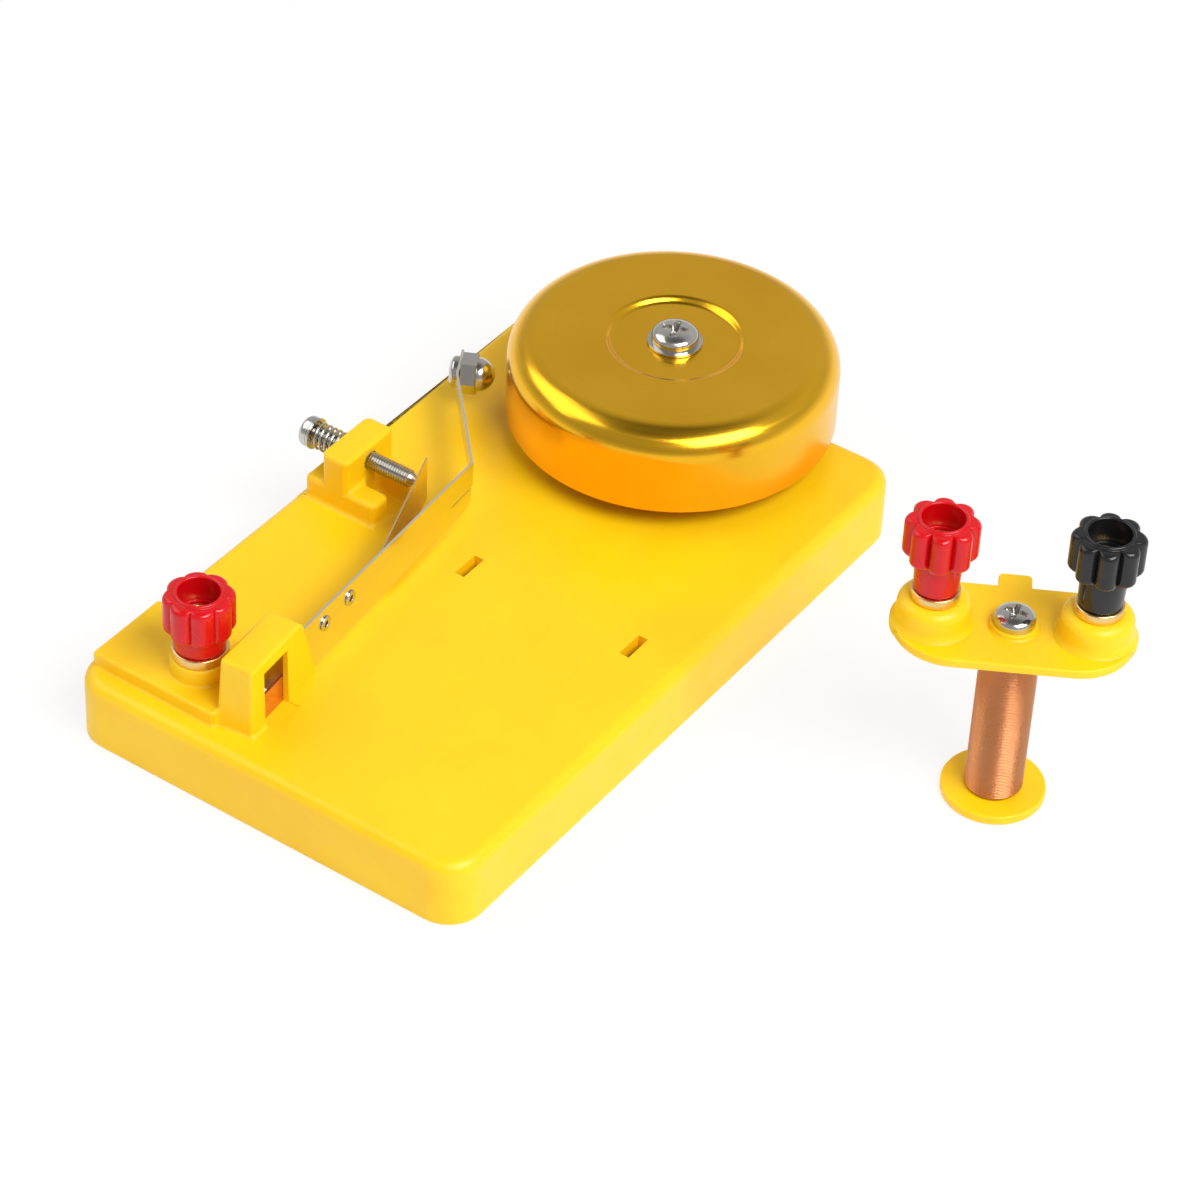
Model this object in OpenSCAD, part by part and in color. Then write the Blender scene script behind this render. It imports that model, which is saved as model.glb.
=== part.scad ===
// Electric bell demonstrator: a moulded base with an armature strip, hammer, contact screw and
// gong, and a plug-in coil unit standing beside it. Millimetres, +Z up.
// Origin: centre of the base's underside. +X towards the coil unit, +Y towards the gong.

/* [Base moulding] */
// Width of the base along X
base_w = 75; // [72:1:100]
// Length of the base along Y
base_len = 123; // [115:1:160]
// Height of the deck above the table
deck_z = 11.8; // [10.5:0.1:16]
// Plan radius of the base's four corners
corner_r = 6; // [3:0.5:10]
// Radius of the rounded edge round the deck
edge_r = 2; // [0.5:0.25:3]
// Thickness of the side walls
wall_t = 2.4; // [1.6:0.1:3.5]
// Thickness of the deck
deck_t = 2.4; // [1.6:0.1:3]
// Thickness of the crossed ribs under the deck
rib_t = 1.8; // [1.2:0.1:3]

/* [Terminal pad] */
// Step of the raised pad above the deck
pad_step = 2.6; // [1:0.1:4]
// Length of the raised pad along Y
pad_len = 16; // [14:0.5:22]
// Distance of the pad's two outer sides from the base's sides
pad_inset = 1.6; // [1:0.1:4]
// Terminal's distance from the base's -X side
terminal_in_x = 17.2; // [14:0.1:20]
// Terminal's distance from the base's -Y side
terminal_in_y = 11.35; // [9:0.05:14]
// Radius of the moulded boss under the base terminal
base_boss_r = 4.7; // [4.2:0.1:6]
// Height of the moulded boss above the pad
base_boss_h = 3.2; // [1:0.1:6]

/* [Strip post] */
// Post's front face at its foot, from the base's -X side
post_in_x = 32; // [30:0.1:33]
// Post's near end at its foot, from the base's -Y side
post_in_y = 5.6; // [3:0.1:8]
// Length of the post at its foot
post_len = 18.4; // [17:0.1:22]
// Width of the post at its foot
post_wid = 7.0; // [6:0.1:9]
// Height of the post's top above the deck
post_h = 12.7; // [11.7:0.1:18.2]
// Narrowing of the post's far end from foot to top
post_taper_len = 4; // [1:0.25:5]
// Lean of the post's front face from foot to top
post_lean_front = 0.25; // [0:0.05:0.3]
// Lean of the post's back face from foot to top
post_lean_back = 0.65; // [0:0.05:0.9]
// Turn of post and strip from +Y towards -X, degrees
strip_ang = 5.55; // [3:0.05:8]
// Thickness of the post's walls
post_wall = 1.3; // [1:0.1:1.6]
// Width of the window in the post's front face
window_w = 6.6; // [4.6:0.1:8]
// Window's near side from the post's near end
window_at = 3.6; // [3:0.1:4.4]
// Height of the window's upper edge above the deck
window_h = 10.4; // [7.2:0.1:10.6]

/* [Armature] */
// Distance from the post's front face back to the strip's middle
strip_behind = 0.71; // [0.7:0.01:1.2]
// Thickness of the armature strip
strip_t = 0.4; // [0.3:0.05:0.5]
// Length of the strip from the post's far foot to its bend
strip_len = 47.5; // [44:0.5:50]
// Length of the strip's tail inside the post
strip_tail = 7; // [5:0.25:8]
// Height of the strip's lower edge above the deck
strip_low = 0.9; // [0.5:0.1:2.2]
// Height of the strip's upper edge above the deck, at the post
strip_high = 10.6; // [9.2:0.1:11.2]
// Fall of the strip's upper edge from the post to the bend
strip_fall = 1.4; // [0.2:0.1:2]
// Height above the deck of the tongue that becomes the hammer arm
tongue_low = 4.6; // [3.2:0.1:5.2]
// Width of the slit under the tongue
slit_w = 0.3; // [0.2:0.05:0.6]
// Length of the slit
slit_len = 6.5; // [3:0.5:9]
// Length of the flat pad that carries the hammer
pad_hammer_len = 6.6; // [5:0.1:8]

/* [Contact leaf] */
// Thickness of the contact leaf
leaf_t = 0.25; // [0.15:0.05:0.4]
// Angle between the leaf's free end and the strip, degrees
leaf_open_ang = 14.55; // [13.6:0.05:15.4]
// Distance from the post's far foot to the leaf's fixed end
leaf_start = 1.2; // [1:0.1:1.6]
// Distance from the post's far foot to the leaf's bend
leaf_bend = 20.3; // [20:0.1:20.8]
// Length of the leaf's free end
leaf_free_len = 24.7; // [20:0.1:25.2]
// Lower edge of the leaf above the deck
leaf_low = 1.2; // [0.6:0.1:2.2]
// Upper edge of the leaf above the deck
leaf_high = 9.7; // [9.1:0.1:10.2]
// First rivet's distance from the post's far foot
rivet_at = 2.9; // [2.8:0.1:5]
// Distance between the two rivets
rivet_gap = 7.2; // [5:0.1:12]
// Height of the rivets above the deck
rivet_up = 7.6; // [5.2:0.1:8]
// Radius of the rivets' shanks
rivet_r = 0.7; // [0.5:0.05:0.9]
// Radius of the rivets' heads
rivet_head_r = 1.1; // [1:0.05:1.5]

/* [Hammer] */
// Gap from the hammer's tip to the gong at rest
hammer_gap = 2.05; // [1.9:0.05:3]
// Direction of the blow, from +X towards +Y, degrees
strike_ang = 28; // [24:0.5:32]
// Height of the hammer's axis above the deck
hammer_up = 6.9; // [6.7:0.1:7.1]
// Radius of the hammer screw's thread
hammer_screw_r = 1.5; // [1.2:0.05:1.6]
// Radius of the hammer screw's head
hammer_head_r = 2.75; // [2.3:0.05:3.2]
// Height of the hammer screw's head
hammer_head_h = 1.6; // [1:0.1:2.2]
// Width across flats of the cap nut
cap_nut_af = 6; // [5:0.1:7]
// Height of the cap nut's hexagon
cap_nut_hex_h = 2.8; // [1.5:0.1:3.5]
// Radius of the cap nut's dome
cap_nut_dome_r = 2.85; // [2.4:0.05:3]

/* [Contact screw] */
// Bracket's outer side from the base's -X side
bracket_in_x = 1.5; // [1:0.1:3]
// Contact screw's axis, from the strip's clamped end along Y
contact_at = 39.65; // [38:0.05:40.5]
// Height of the contact screw's axis above the deck
contact_up = 7.4; // [6.8:0.1:7.6]
// Radius of the contact screw's thread
contact_r = 1.5; // [1:0.05:1.55]
// Radius of the contact screw's head
contact_head_r = 2.65; // [2.3:0.05:3]
// Height of the contact screw's head
contact_head_h = 2.1; // [1.2:0.1:3]
// Gap from the contact screw's point to the leaf
contact_gap = 0.1; // [0.1:0.02:0.4]
// Length of the contact screw's point
contact_tip_len = 1.4; // [0.8:0.1:2]
// Radius of the screw's washer
contact_washer_r = 2.7; // [2.6:0.05:3.2]
// Thickness of the screw's washer
contact_washer_t = 0.6; // [0.4:0.05:1]

/* [Contact spring] */
// Length of the spring between washer and bracket
spring_len = 5.7; // [5.4:0.1:8]
// Wire diameter of the spring
spring_wire = 0.45; // [0.35:0.01:0.48]
// Mean radius of the spring's curls
spring_r = 2.1; // [2.05:0.05:2.3]
// Number of the spring's curls
spring_curls = 4.75; // [3:0.25:4.75]

/* [Bracket] */
// Length of the bracket along Y
bracket_len = 12.7; // [11:0.1:15]
// Thickness of the bracket's upper block
bracket_t = 5.2; // [4:0.1:6]
// Height of the bracket's upper block above the deck
bracket_h = 10.2; // [9.8:0.1:14.2]
// Height of the bracket's ledges above the deck
ledge_h = 4.1; // [2.7:0.1:4.6]
// Depth of the outer ledge
ledge_out = 3.5; // [2:0.1:3.6]
// Depth of the inner ledges
ledge_in = 5.5; // [3:0.1:6]
// Width of the notch under the screw
notch_w = 4; // [3.2:0.1:5]
// Radius of the threaded bush
bush_r = 2.2; // [2:0.05:2.4]
// Length of the threaded bush
bush_len = 4; // [2.5:0.1:4.2]

/* [Gong] */
// Outside diameter of the gong
gong_d = 55; // [44:0.5:66]
// Height of the gong's rim above the deck
gong_lift = 4; // [3.2:0.1:5.2]
// Height of the gong's top above the deck
gong_up = 18.85; // [16.2:0.05:24.2]
// Radius of the gong's shoulder
gong_shoulder_r = 5; // [3:0.25:7]
// Thickness of the gong's metal
gong_t = 0.8; // [0.5:0.05:1.2]
// Depth of the sunk disc in the gong's top
gong_sink = 0.9; // [0.4:0.05:1.5]
// Radius of the sunk disc at its upper edge
gong_sink_r = 11.45; // [9:0.05:13]
// Pillar's distance from the base's +Y end
gong_in_y = 14.7; // [12:0.1:18]
// Pillar's distance from the base's -X side
gong_in_x = 38.6; // [36:0.1:42]
// Radius of the gong's pillar
pillar_r = 5; // [4.5:0.1:7]
// Radius of the gong screw's thread
gong_screw_r = 2; // [1.5:0.05:2.2]
// Radius of the gong screw's head
gong_head_r = 3.95; // [3.6:0.05:4.6]
// Height of the gong screw's head
gong_head_h = 2.4; // [1.6:0.1:3.2]
// Radius of the gong screw's washer
gong_washer_r = 4.6; // [4.2:0.1:6]
// Thickness of the gong screw's washer
gong_washer_t = 0.5; // [0.3:0.05:1]

/* [Terminals] */
// Radius of the terminal studs
stud_r = 2.8; // [2.6:0.05:2.85]
// Radius of the 4 mm plug sockets
socket_r = 2; // [1.9:0.05:2.1]
// Depth of the plug sockets
socket_len = 10; // [6:0.5:12]
// Depth of the recess in a knob's top
recess_len = 4.6; // [4.2:0.1:5]
// Radius of the recess in a coil knob's top
recess_r = 3.3; // [3.15:0.05:3.4]
// Thickness of the collars under the coil knobs
coil_collar_t = 1.7; // [1:0.1:3]
// Radius of the collars under the coil knobs
coil_collar_r = 3.6; // [3.3:0.05:5]
// Height of a coil knob's plain neck
coil_neck_h = 6.2; // [3:0.1:8]
// Radius of a coil knob's plain neck
coil_neck_r = 3.75; // [3.6:0.05:4.4]
// Height of a coil knob's lobed head
coil_head_h = 7.2; // [5:0.1:10]
// Outside radius of a coil knob's lobes
coil_lobe_r = 5.75; // [5.2:0.05:6.4]
// Thickness of the collar under the base knob
base_collar_t = 1.7; // [1:0.1:3]
// Radius of the collar under the base knob
base_collar_r = 4.5; // [4.2:0.05:6]
// Height of the base knob's plain neck
base_neck_h = 3.4; // [2:0.1:5]
// Radius of the base knob's plain neck
base_neck_r = 4.35; // [4:0.05:4.8]
// Height of the base knob's lobed head
base_head_h = 7.2; // [5.5:0.1:9]
// Outside radius of the base knob's lobes
base_lobe_r = 5.65; // [5.2:0.05:6.2]
// Number of lobes round a knob
lobes = 8; // [6:1:10]
// Width across flats of the terminal nuts
terminal_nut_af = 7.6; // [7:0.1:7.8]
// Thickness of the terminal nuts
terminal_nut_t = 2.4; // [1.6:0.1:2.6]

/* [Coil unit] */
// Coil's distance from the base's +X side
coil_out_x = 46.9; // [36:0.1:70]
// Coil's distance from the middle of the base along Y
coil_at_y = 15.2; // [-40:0.1:60]
// Turn of the coil unit as it stands, degrees
coil_yaw = 29.5; // [-90:0.5:90]
// Distance between the two tabs, and so between the base's slots
tab_pitch = 32; // [28:0.1:36]
// Thickness of top plate, lower flange and tabs
plate_t = 1.6; // [1.2:0.05:1.9]
// Length of the top plate over its round ends
plate_len = 37; // [36:0.5:44]
// Width of the top plate
plate_wid = 18.6; // [17:0.1:22]
// Radius of the lower flange
flange_r = 8.25; // [7:0.05:9.2]
// Reach of both tabs from the coil's axis
tab_reach = 12.3; // [11.5:0.1:14]
// Width of the tabs
tab_w = 5.2; // [4:0.1:6.5]
// First slot's distance from the base's -X side
slot_in_x = 33.6; // [33:0.1:35]
// Middle of the slots, from the strip's clamped end along Y
slot_at = 35.06; // [33:0.02:37]
// Distance between the two coil terminals
coil_terminal_gap = 24.66; // [23:0.02:27]
// Radius of the moulded bosses under the coil knobs
coil_boss_r = 5.8; // [5:0.1:7]
// Height of the moulded bosses under the coil knobs
coil_boss_h = 4.6; // [2:0.1:7]
// Rounding of the bosses' upper edge
coil_boss_edge = 1; // [0.3:0.1:1.5]
// Outside radius of the bobbin's tube
tube_r = 3; // [2.8:0.05:3.1]
// Radius of the iron core
core_r = 2.2; // [1.9:0.05:2.3]
// Radius of the core screw's thread
core_screw_r = 1.25; // [1:0.05:1.4]
// Radius of the core screw's head
core_head_r = 3.25; // [2.8:0.05:3.5]
// Height of the core screw's head
core_head_h = 2.2; // [1.4:0.1:3]
// Radius of the ring under the core screw's head
core_ring_r = 3.7; // [3.5:0.05:4.4]
// Height of the ring under the core screw's head
core_ring_h = 0.8; // [0.4:0.1:1.5]

/* [Winding] */
// Wire diameter of the winding's outer layer
wire_d = 0.8; // [0.5:0.05:0.8]
// Number of loops in the outer layer
wire_loops = 24; // [12:1:24]
// Mean radius of the outer layer
wire_r = 4.2; // [4.2:0.05:4.6]
// Wire diameter of the winding's two leads
lead_d = 0.6; // [0.4:0.05:0.8]

/* [Fits] */
// Radial clearance of turning and sliding fits
run_gap = 0.05; // [0.03:0.01:0.1]
// Radial clearance of fixed fits
seat_gap = 0.02; // [0.01:0.005:0.03]
// Clearance of the coil's tabs in the base's slots, on each side
slot_gap = 0.1; // [0.05:0.01:0.3]
// Room behind the strip in the post's mouth
swing_gap = 0.5; // [0.4:0.05:0.7]

/* [Hidden] */
$fn = 64;
x_side = -base_w / 2;
y_side = -base_len / 2;
inner_z = deck_z - deck_t;
// heights above the table, from the heights above the deck
post_top_z = deck_z + post_h;
window_top_z = deck_z + window_h;
strip_low_z = deck_z + strip_low;
strip_high_z = deck_z + strip_high;
tongue_low_z = deck_z + tongue_low;
leaf_low_z = deck_z + leaf_low;
leaf_high_z = deck_z + leaf_high;
rivet_z = deck_z + rivet_up;
hammer_z = deck_z + hammer_up;
contact_z = deck_z + contact_up;
bracket_top_z = deck_z + bracket_h;
ledge_z = deck_z + ledge_h;
gong_rim_z = deck_z + gong_lift;
gong_top_z = deck_z + gong_up;
// strip frame
post_p = [x_side + post_in_x, y_side + post_in_y];
function along(p, ang, d) = [p[0] - d * sin(ang), p[1] + d * cos(ang)];
strip_p = along(along(post_p, strip_ang, post_len), strip_ang + 90, strip_behind);
strip_end = along(strip_p, strip_ang, strip_len);
// pad and terminal
pad_z = deck_z + pad_step;
pad_under_z = pad_z - deck_t;
term_p = [x_side + terminal_in_x, y_side + terminal_in_y];
base_boss_z = pad_z + base_boss_h;
base_knob_z = base_boss_z + base_collar_t;
base_knob_top = base_knob_z + base_neck_h + base_head_h;
// gong
gong_p = [x_side + gong_in_x, base_len / 2 - gong_in_y];
gong_r = gong_d / 2;
disc_top_z = gong_top_z - gong_sink;
disc_low_z = disc_top_z - gong_t;
gong_head_z = disc_top_z + gong_washer_t;
gong_nut_t = 3.2;
gong_nut_af = 7;
// hammer
strike = [cos(strike_ang), sin(strike_ang)];
cap_nut_h = cap_nut_hex_h + cap_nut_dome_r;
hammer_tip = gong_p - (gong_r + hammer_gap) * strike;
hammer_p = hammer_tip - (cap_nut_h + strip_t / 2 + seat_gap) * strike;
pad_dir = [-strike[1], strike[0]];
pad_a = hammer_p - pad_dir * pad_hammer_len / 2;
pad_b = hammer_p + pad_dir * pad_hammer_len / 2;
tongue_high_z = strip_high_z - strip_fall;
// leaf and contact screw
leaf_off = (strip_t + leaf_t) / 2 + seat_gap;
leaf_a = along(along(strip_p, strip_ang + 90, leaf_off), strip_ang, leaf_start);
leaf_b = along(along(strip_p, strip_ang + 90, leaf_off), strip_ang, leaf_bend);
leaf_ang = strip_ang + leaf_open_ang;
leaf_c = along(leaf_b, leaf_ang, leaf_free_len);
contact_y = strip_p[1] + contact_at;
contact_tip_r = 0.3;
leaf_x = leaf_b[0] - (contact_y - leaf_b[1]) * tan(leaf_ang);
contact_tip_x = leaf_x - leaf_t / 2 / cos(leaf_ang) - contact_tip_r * tan(leaf_ang) - contact_gap;
bracket_x = x_side + bracket_in_x;
block_x = bracket_x + ledge_out;
block_end_x = block_x + bracket_t;
bracket_y = contact_y - notch_w / 2 - (bracket_len - notch_w) / 2;
washer_x = block_x - spring_len - contact_washer_t;
// coil unit, in its own frame
coil_p = [base_w / 2 + coil_out_x, coil_at_y];
plate_z = tab_pitch;
plate_top = plate_z + plate_t;
coil_boss_z = plate_top + coil_boss_h;
coil_knob_z = coil_boss_z + coil_collar_t;
coil_knob_top = coil_knob_z + coil_neck_h + coil_head_h;
term_u = coil_terminal_gap / 2;
tag_t = 0.4;
lead_z = plate_z - lead_d / 2 - 0.05;
lead_u = wire_r + wire_d / 2 + 0.1;
core_seat_z = plate_top + core_ring_h;
// base slots
slot_y = strip_p[1] + slot_at;
slot_x = x_side + slot_in_x;
// copper link and the hollow of the post
link_t = 0.5;
hollow_y = strip_behind + strip_t / 2 + 0.19;

// ---- helpers ----

// rectangle with rounded corners, about the origin
module round_rect(w, l, r) {
    offset(r) square([w - 2 * r, l - 2 * r], center = true);
}

// exact rounded rectangle from squares and circles
module plain_round_rect(w, l, r) {
    square([w - 2 * r, l], center = true);
    square([w, l - 2 * r], center = true);
    for (sx = [-1, 1], sy = [-1, 1])
        translate([sx * (w / 2 - r), sy * (l / 2 - r)]) circle(r);
}

// upright wall standing on the plan line that starts at p and runs at ang from +Y
module wall_frame(p, ang) {
    translate([p[0], p[1], 0]) rotate([0, 0, 90 + ang]) children();
}

// plan outline of a strip of thickness t along the points
function unit(v) = v / norm(v);
function side_of(a, b) = let (d = unit(b - a)) [-d[1], d[0]];
function miter(pts, i) =
    i == 0 ? side_of(pts[0], pts[1]) :
    i == len(pts) - 1 ? side_of(pts[i - 1], pts[i]) :
    let (a = side_of(pts[i - 1], pts[i]), b = side_of(pts[i], pts[i + 1]), m = unit(a + b)) m / (m * a);
function strip_outline(pts, t) = concat(
    [for (i = [0 : len(pts) - 1]) pts[i] + miter(pts, i) * t / 2],
    [for (i = [len(pts) - 1 : -1 : 0]) pts[i] - miter(pts, i) * t / 2]);

module hexagon(af) {
    circle(af / 2 / cos(30), $fn = 6);
}

module nut(af, t, bore) {
    linear_extrude(t) difference() {
        hexagon(af);
        circle(bore);
    }
}

// cross recess of a screw head: two crossed bars, cut downwards from the origin
module cross_cut(len, wid, depth) {
    for (a = [0, 90])
        rotate([0, 0, a]) translate([-len / 2, -wid / 2, -depth]) cube([len, wid, depth + 2]);
}

// low domed screw head of radius r and height h on the plane z = 0
module pan_head(r, h) {
    ball = (r * r + h * h / 4) / h;
    rotate_extrude() intersection() {
        square([r, h]);
        translate([0, h - ball]) circle(ball, $fn = 128);
    }
}

// ---- forms wound by formula ----

ring_sides = 6;
function path_dir(pts, i) =
    i == 0 ? unit(pts[1] - pts[0]) :
    i == len(pts) - 1 ? unit(pts[i] - pts[i - 1]) : unit(pts[i + 1] - pts[i - 1]);
function ring(pts, i, r) = let (
    d = path_dir(pts, i),
    out0 = unit([pts[i][0], pts[i][1], 0]),
    out1 = unit(out0 - d * (out0 * d)),
    out2 = cross(d, out1))
    [for (k = [0 : ring_sides - 1])
        let (a = 360 * k / ring_sides) pts[i] + r * (cos(a) * out1 + sin(a) * out2)];

// straight lead-in, helix, straight lead-out: every ring is square to the path
function coil_path(len, r, turns, per_turn, wire) = let (
    lift = (len - 2 * wire) / turns / per_turn,
    n = round(turns * per_turn))
    concat(
        [[r, 0, 0], [r, 0, wire * 0.75]],
        [for (i = [0 : n])
            let (a = 360 * i / per_turn)
            [r * cos(a), r * sin(a), wire + i * lift]],
        let (a = 360 * n / per_turn)
        [[r * cos(a), r * sin(a), len - wire * 0.75], [r * cos(a), r * sin(a), len]]);

module tube(pts, wire) {
    n = len(pts);
    points = [for (i = [0 : n - 1]) for (q = ring(pts, i, wire / 2)) q];
    sides = [for (i = [0 : n - 2], k = [0 : ring_sides - 1])
        let (a = i * ring_sides + k, b = i * ring_sides + (k + 1) % ring_sides)
        each [[a, b, a + ring_sides], [b, b + ring_sides, a + ring_sides]]];
    last = (n - 1) * ring_sides;
    caps = [for (k = [1 : ring_sides - 2])
        each [[0, k + 1, k], [last, last + k, last + k + 1]]];
    polyhedron(points = points, faces = [for (f = concat(sides, caps)) [f[0], f[2], f[1]]], convexity = 10);
}

// least gap of a coil to itself, between points most of a turn or more apart
function self_gap(pts, per_turn, wire) = min([
    for (i = [0 : len(pts) - 1], j = [i + floor(per_turn * 0.6) : 1 : min(len(pts) - 1, i + 2 * per_turn)])
        norm(pts[i] - pts[j])]) - wire;

wire_per_turn = 24;
spring_per_turn = 8;
winding_path = coil_path(plate_z - plate_t - 2 * seat_gap, wire_r, wire_loops, wire_per_turn, wire_d);
spring_path = coil_path(spring_len - 2 * seat_gap, spring_r, spring_curls, spring_per_turn, spring_wire);
echo(winding_gap = self_gap(winding_path, wire_per_turn, wire_d));
echo(spring_gap = self_gap(spring_path, spring_per_turn, spring_wire));

// ---- base moulding ----

// block with its top edge rounded all round, standing on z = 0
module edged_block(w, l, h, r, e) {
    hull() {
        linear_extrude(h - e) round_rect(w, l, r, $fn = 32);
        for (a = [30 : 30 : 90]) {
            in = e * (1 - cos(a));
            translate([0, 0, h - e]) linear_extrude(e * sin(a)) round_rect(w - 2 * in, l - 2 * in, r - in / 2, $fn = 32);
        }
    }
}

module post_body(low, top) {
    // plan: x' from the near end along the strip, y' back from the front face
    hull() {
        translate([0, 0, low])
            linear_extrude(0.5) square([post_len, post_wid]);
        translate([0, 0, top - 1]) linear_extrude(1)
            translate([0.6, post_lean_front])
            square([post_len - post_taper_len - 0.6, post_wid - post_lean_front - post_lean_back]);
    }
}

module base_shell() color([0.99, 0.83, 0.12]) {
    difference() {
        union() {
            edged_block(base_w, base_len, deck_z, corner_r, edge_r);
            // raised pad
            translate([x_side + pad_inset, y_side + pad_inset + 2.4, inner_z])
                cube([post_p[0] - 6.5 - x_side - pad_inset, pad_len, pad_z - inner_z]);
            translate([term_p[0], term_p[1], pad_z - 0.5]) cylinder(r = base_boss_r, h = base_boss_h + 0.5);
            wall_frame(post_p, strip_ang) post_body(inner_z, post_top_z);
            // bracket: low block with ledges, tall block between them
            translate([bracket_x, bracket_y, inner_z])
                cube([ledge_out + bracket_t + ledge_in, bracket_len, ledge_z - inner_z]);
            translate([block_x, bracket_y, inner_z]) cube([bracket_t, bracket_len, bracket_top_z - inner_z]);
            translate([gong_p[0], gong_p[1], inner_z - 1]) cylinder(r = pillar_r, h = disc_low_z - inner_z + 1);
        }
        under_deck_hollow();
        // hollow of the pad, up to its own top
        translate([x_side + wall_t + 1.4, post_p[1] + 1.7, inner_z - 1])
            cube([post_p[0] - 5.4 - x_side - wall_t, pad_len - 5.3, pad_under_z - inner_z + 1]);
        post_hollow();
        // notch under the contact screw
        translate([block_end_x, contact_y - notch_w / 2, deck_z]) cube([ledge_in + 1, notch_w, bracket_top_z]);
        contact_bores();
        translate([term_p[0], term_p[1], inner_z - 1]) cylinder(r = stud_r + seat_gap, h = 12);
        translate([gong_p[0], gong_p[1], inner_z - 2]) cylinder(r = gong_screw_r + run_gap, h = disc_low_z);
        coil_slots();
    }
}

module under_deck_hollow() {
    difference() {
        translate([0, 0, -1]) linear_extrude(inner_z + 1)
            plain_round_rect(base_w - 2 * wall_t, base_len - 2 * wall_t, corner_r - wall_t / 2);
        translate([-rib_t / 2, -base_len / 2, -2]) cube([rib_t, base_len, inner_z + 4]);
        translate([-base_w / 2, -rib_t / 2, -2]) cube([base_w, rib_t, inner_z + 4]);
    }
    // room for the gong's nut in the rib
    translate([gong_p[0], gong_p[1], -1]) cylinder(r = gong_nut_af / 2 / cos(30) + 1.4, h = inner_z + 1);
}

module post_hollow() {
    wall_frame(post_p, strip_ang) {
        // hollow, open below
        translate([post_wall + 0.4, hollow_y, inner_z - 1])
            cube([post_len - post_taper_len - 2 * post_wall + 0.7 - 1.7, post_wid - hollow_y - post_wall - 0.2,
                post_top_z - 1.8 - inner_z + 1]);
        // window
        translate([window_at, -2, deck_z - 0.2]) cube([window_w, post_wall + 3, window_top_z - deck_z + 0.2]);
    }
    // mouth for the strip, with room behind it to swing
    wall_frame(strip_p, strip_ang)
        translate([-strip_tail - 0.5, -strip_t / 2 - seat_gap * 4, strip_low_z - 0.3])
        cube([strip_tail + 8, strip_t + swing_gap + seat_gap * 4, strip_high_z + 0.2 - strip_low_z + 0.5]);
}

module contact_bores() {
    translate([block_x, contact_y, contact_z]) rotate([0, 90, 0]) {
        translate([0, 0, -1]) cylinder(r = bush_r + seat_gap, h = bush_len + 1);
        cylinder(r = contact_r + run_gap + 0.05, h = bracket_t + 1);
    }
}

module coil_slots() {
    for (x = [slot_x, slot_x + tab_pitch])
        translate([x - plate_t / 2 - slot_gap, slot_y - tab_w / 2 - slot_gap, inner_z - 4.5])
        cube([plate_t + 2 * slot_gap, tab_w + 2 * slot_gap, 10]);
}

// ---- gong ----

module gong() color([0.86, 0.62, 0.16]) translate([gong_p[0], gong_p[1], 0]) rotate_extrude() difference() {
    union() {
        bell_outline(0);
        translate([0, disc_low_z]) square([gong_sink_r - 0.3, gong_sink + gong_t]);
    }
    difference() {
        bell_outline(gong_t);
        polygon([[0, disc_low_z], [gong_sink_r - gong_sink, disc_low_z],
            [gong_sink_r, gong_top_z - gong_t], [gong_sink_r + 0.1, gong_top_z], [0, gong_top_z]]);
    }
    polygon([[0, disc_top_z], [gong_sink_r - gong_sink, disc_top_z], [gong_sink_r, gong_top_z],
        [gong_sink_r, gong_top_z + 1], [0, gong_top_z + 1]]);
    translate([0, disc_low_z - 1]) square([gong_screw_r + run_gap, gong_t + 2]);
}

// half section of the bell, drawn in by t
module bell_outline(t) {
    r = gong_r - t;
    z = gong_top_z - t;
    s = gong_shoulder_r - t;
    low = t > 0 ? gong_rim_z - 1 : gong_rim_z;
    translate([0, low]) square([r, z - s - low]);
    translate([0, low]) square([r - s, z - low]);
    translate([r - s, z - s]) circle(s, $fn = 96);
}

module gong_washer() color([0.80, 0.80, 0.78])
    translate([gong_p[0], gong_p[1], disc_top_z + seat_gap]) linear_extrude(gong_washer_t - 2 * seat_gap)
    difference() {
        circle(gong_washer_r);
        circle(gong_screw_r + run_gap);
    }

module gong_screw() color([0.82, 0.82, 0.80]) translate([gong_p[0], gong_p[1], 0]) {
    low = inner_z - gong_nut_t - 1;
    translate([0, 0, low]) cylinder(r = gong_screw_r, h = gong_head_z - low + 0.5);
    translate([0, 0, gong_head_z]) difference() {
        pan_head(gong_head_r, gong_head_h);
        translate([0, 0, gong_head_h]) cross_cut(4.2, 0.9, 1.4);
    }
}

module gong_nut() color([0.80, 0.80, 0.78])
    translate([gong_p[0], gong_p[1], inner_z - gong_nut_t - seat_gap])
    nut(gong_nut_af, gong_nut_t, gong_screw_r + seat_gap);

// ---- terminals ----

// stud with a plug socket in its top end
module stud(low, top) {
    difference() {
        translate([0, 0, low]) cylinder(r = stud_r, h = top - low);
        translate([0, 0, top - socket_len]) cylinder(r = socket_r, h = socket_len + 1);
    }
}

module collar(r, t) {
    linear_extrude(t - 2 * seat_gap) difference() {
        circle(r);
        circle(stud_r + run_gap);
    }
}

module knob(neck_r, neck_h, lobe_r, head_h, hole_r) {
    valley = 2 * PI * lobe_r / lobes * 0.24;
    difference() {
        union() {
            cylinder(r = neck_r, h = neck_h + 0.5);
            translate([0, 0, neck_h]) linear_extrude(head_h) difference() {
                circle(lobe_r);
                for (i = [0 : lobes - 1])
                    rotate([0, 0, 360 * (i + 0.5) / lobes]) translate([lobe_r + valley * 0.45, 0]) circle(valley);
            }
        }
        translate([0, 0, -1]) cylinder(r = stud_r + run_gap, h = neck_h + head_h);
        translate([0, 0, neck_h + head_h - recess_len]) cylinder(r = hole_r, h = recess_len + 1);
    }
}

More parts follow.
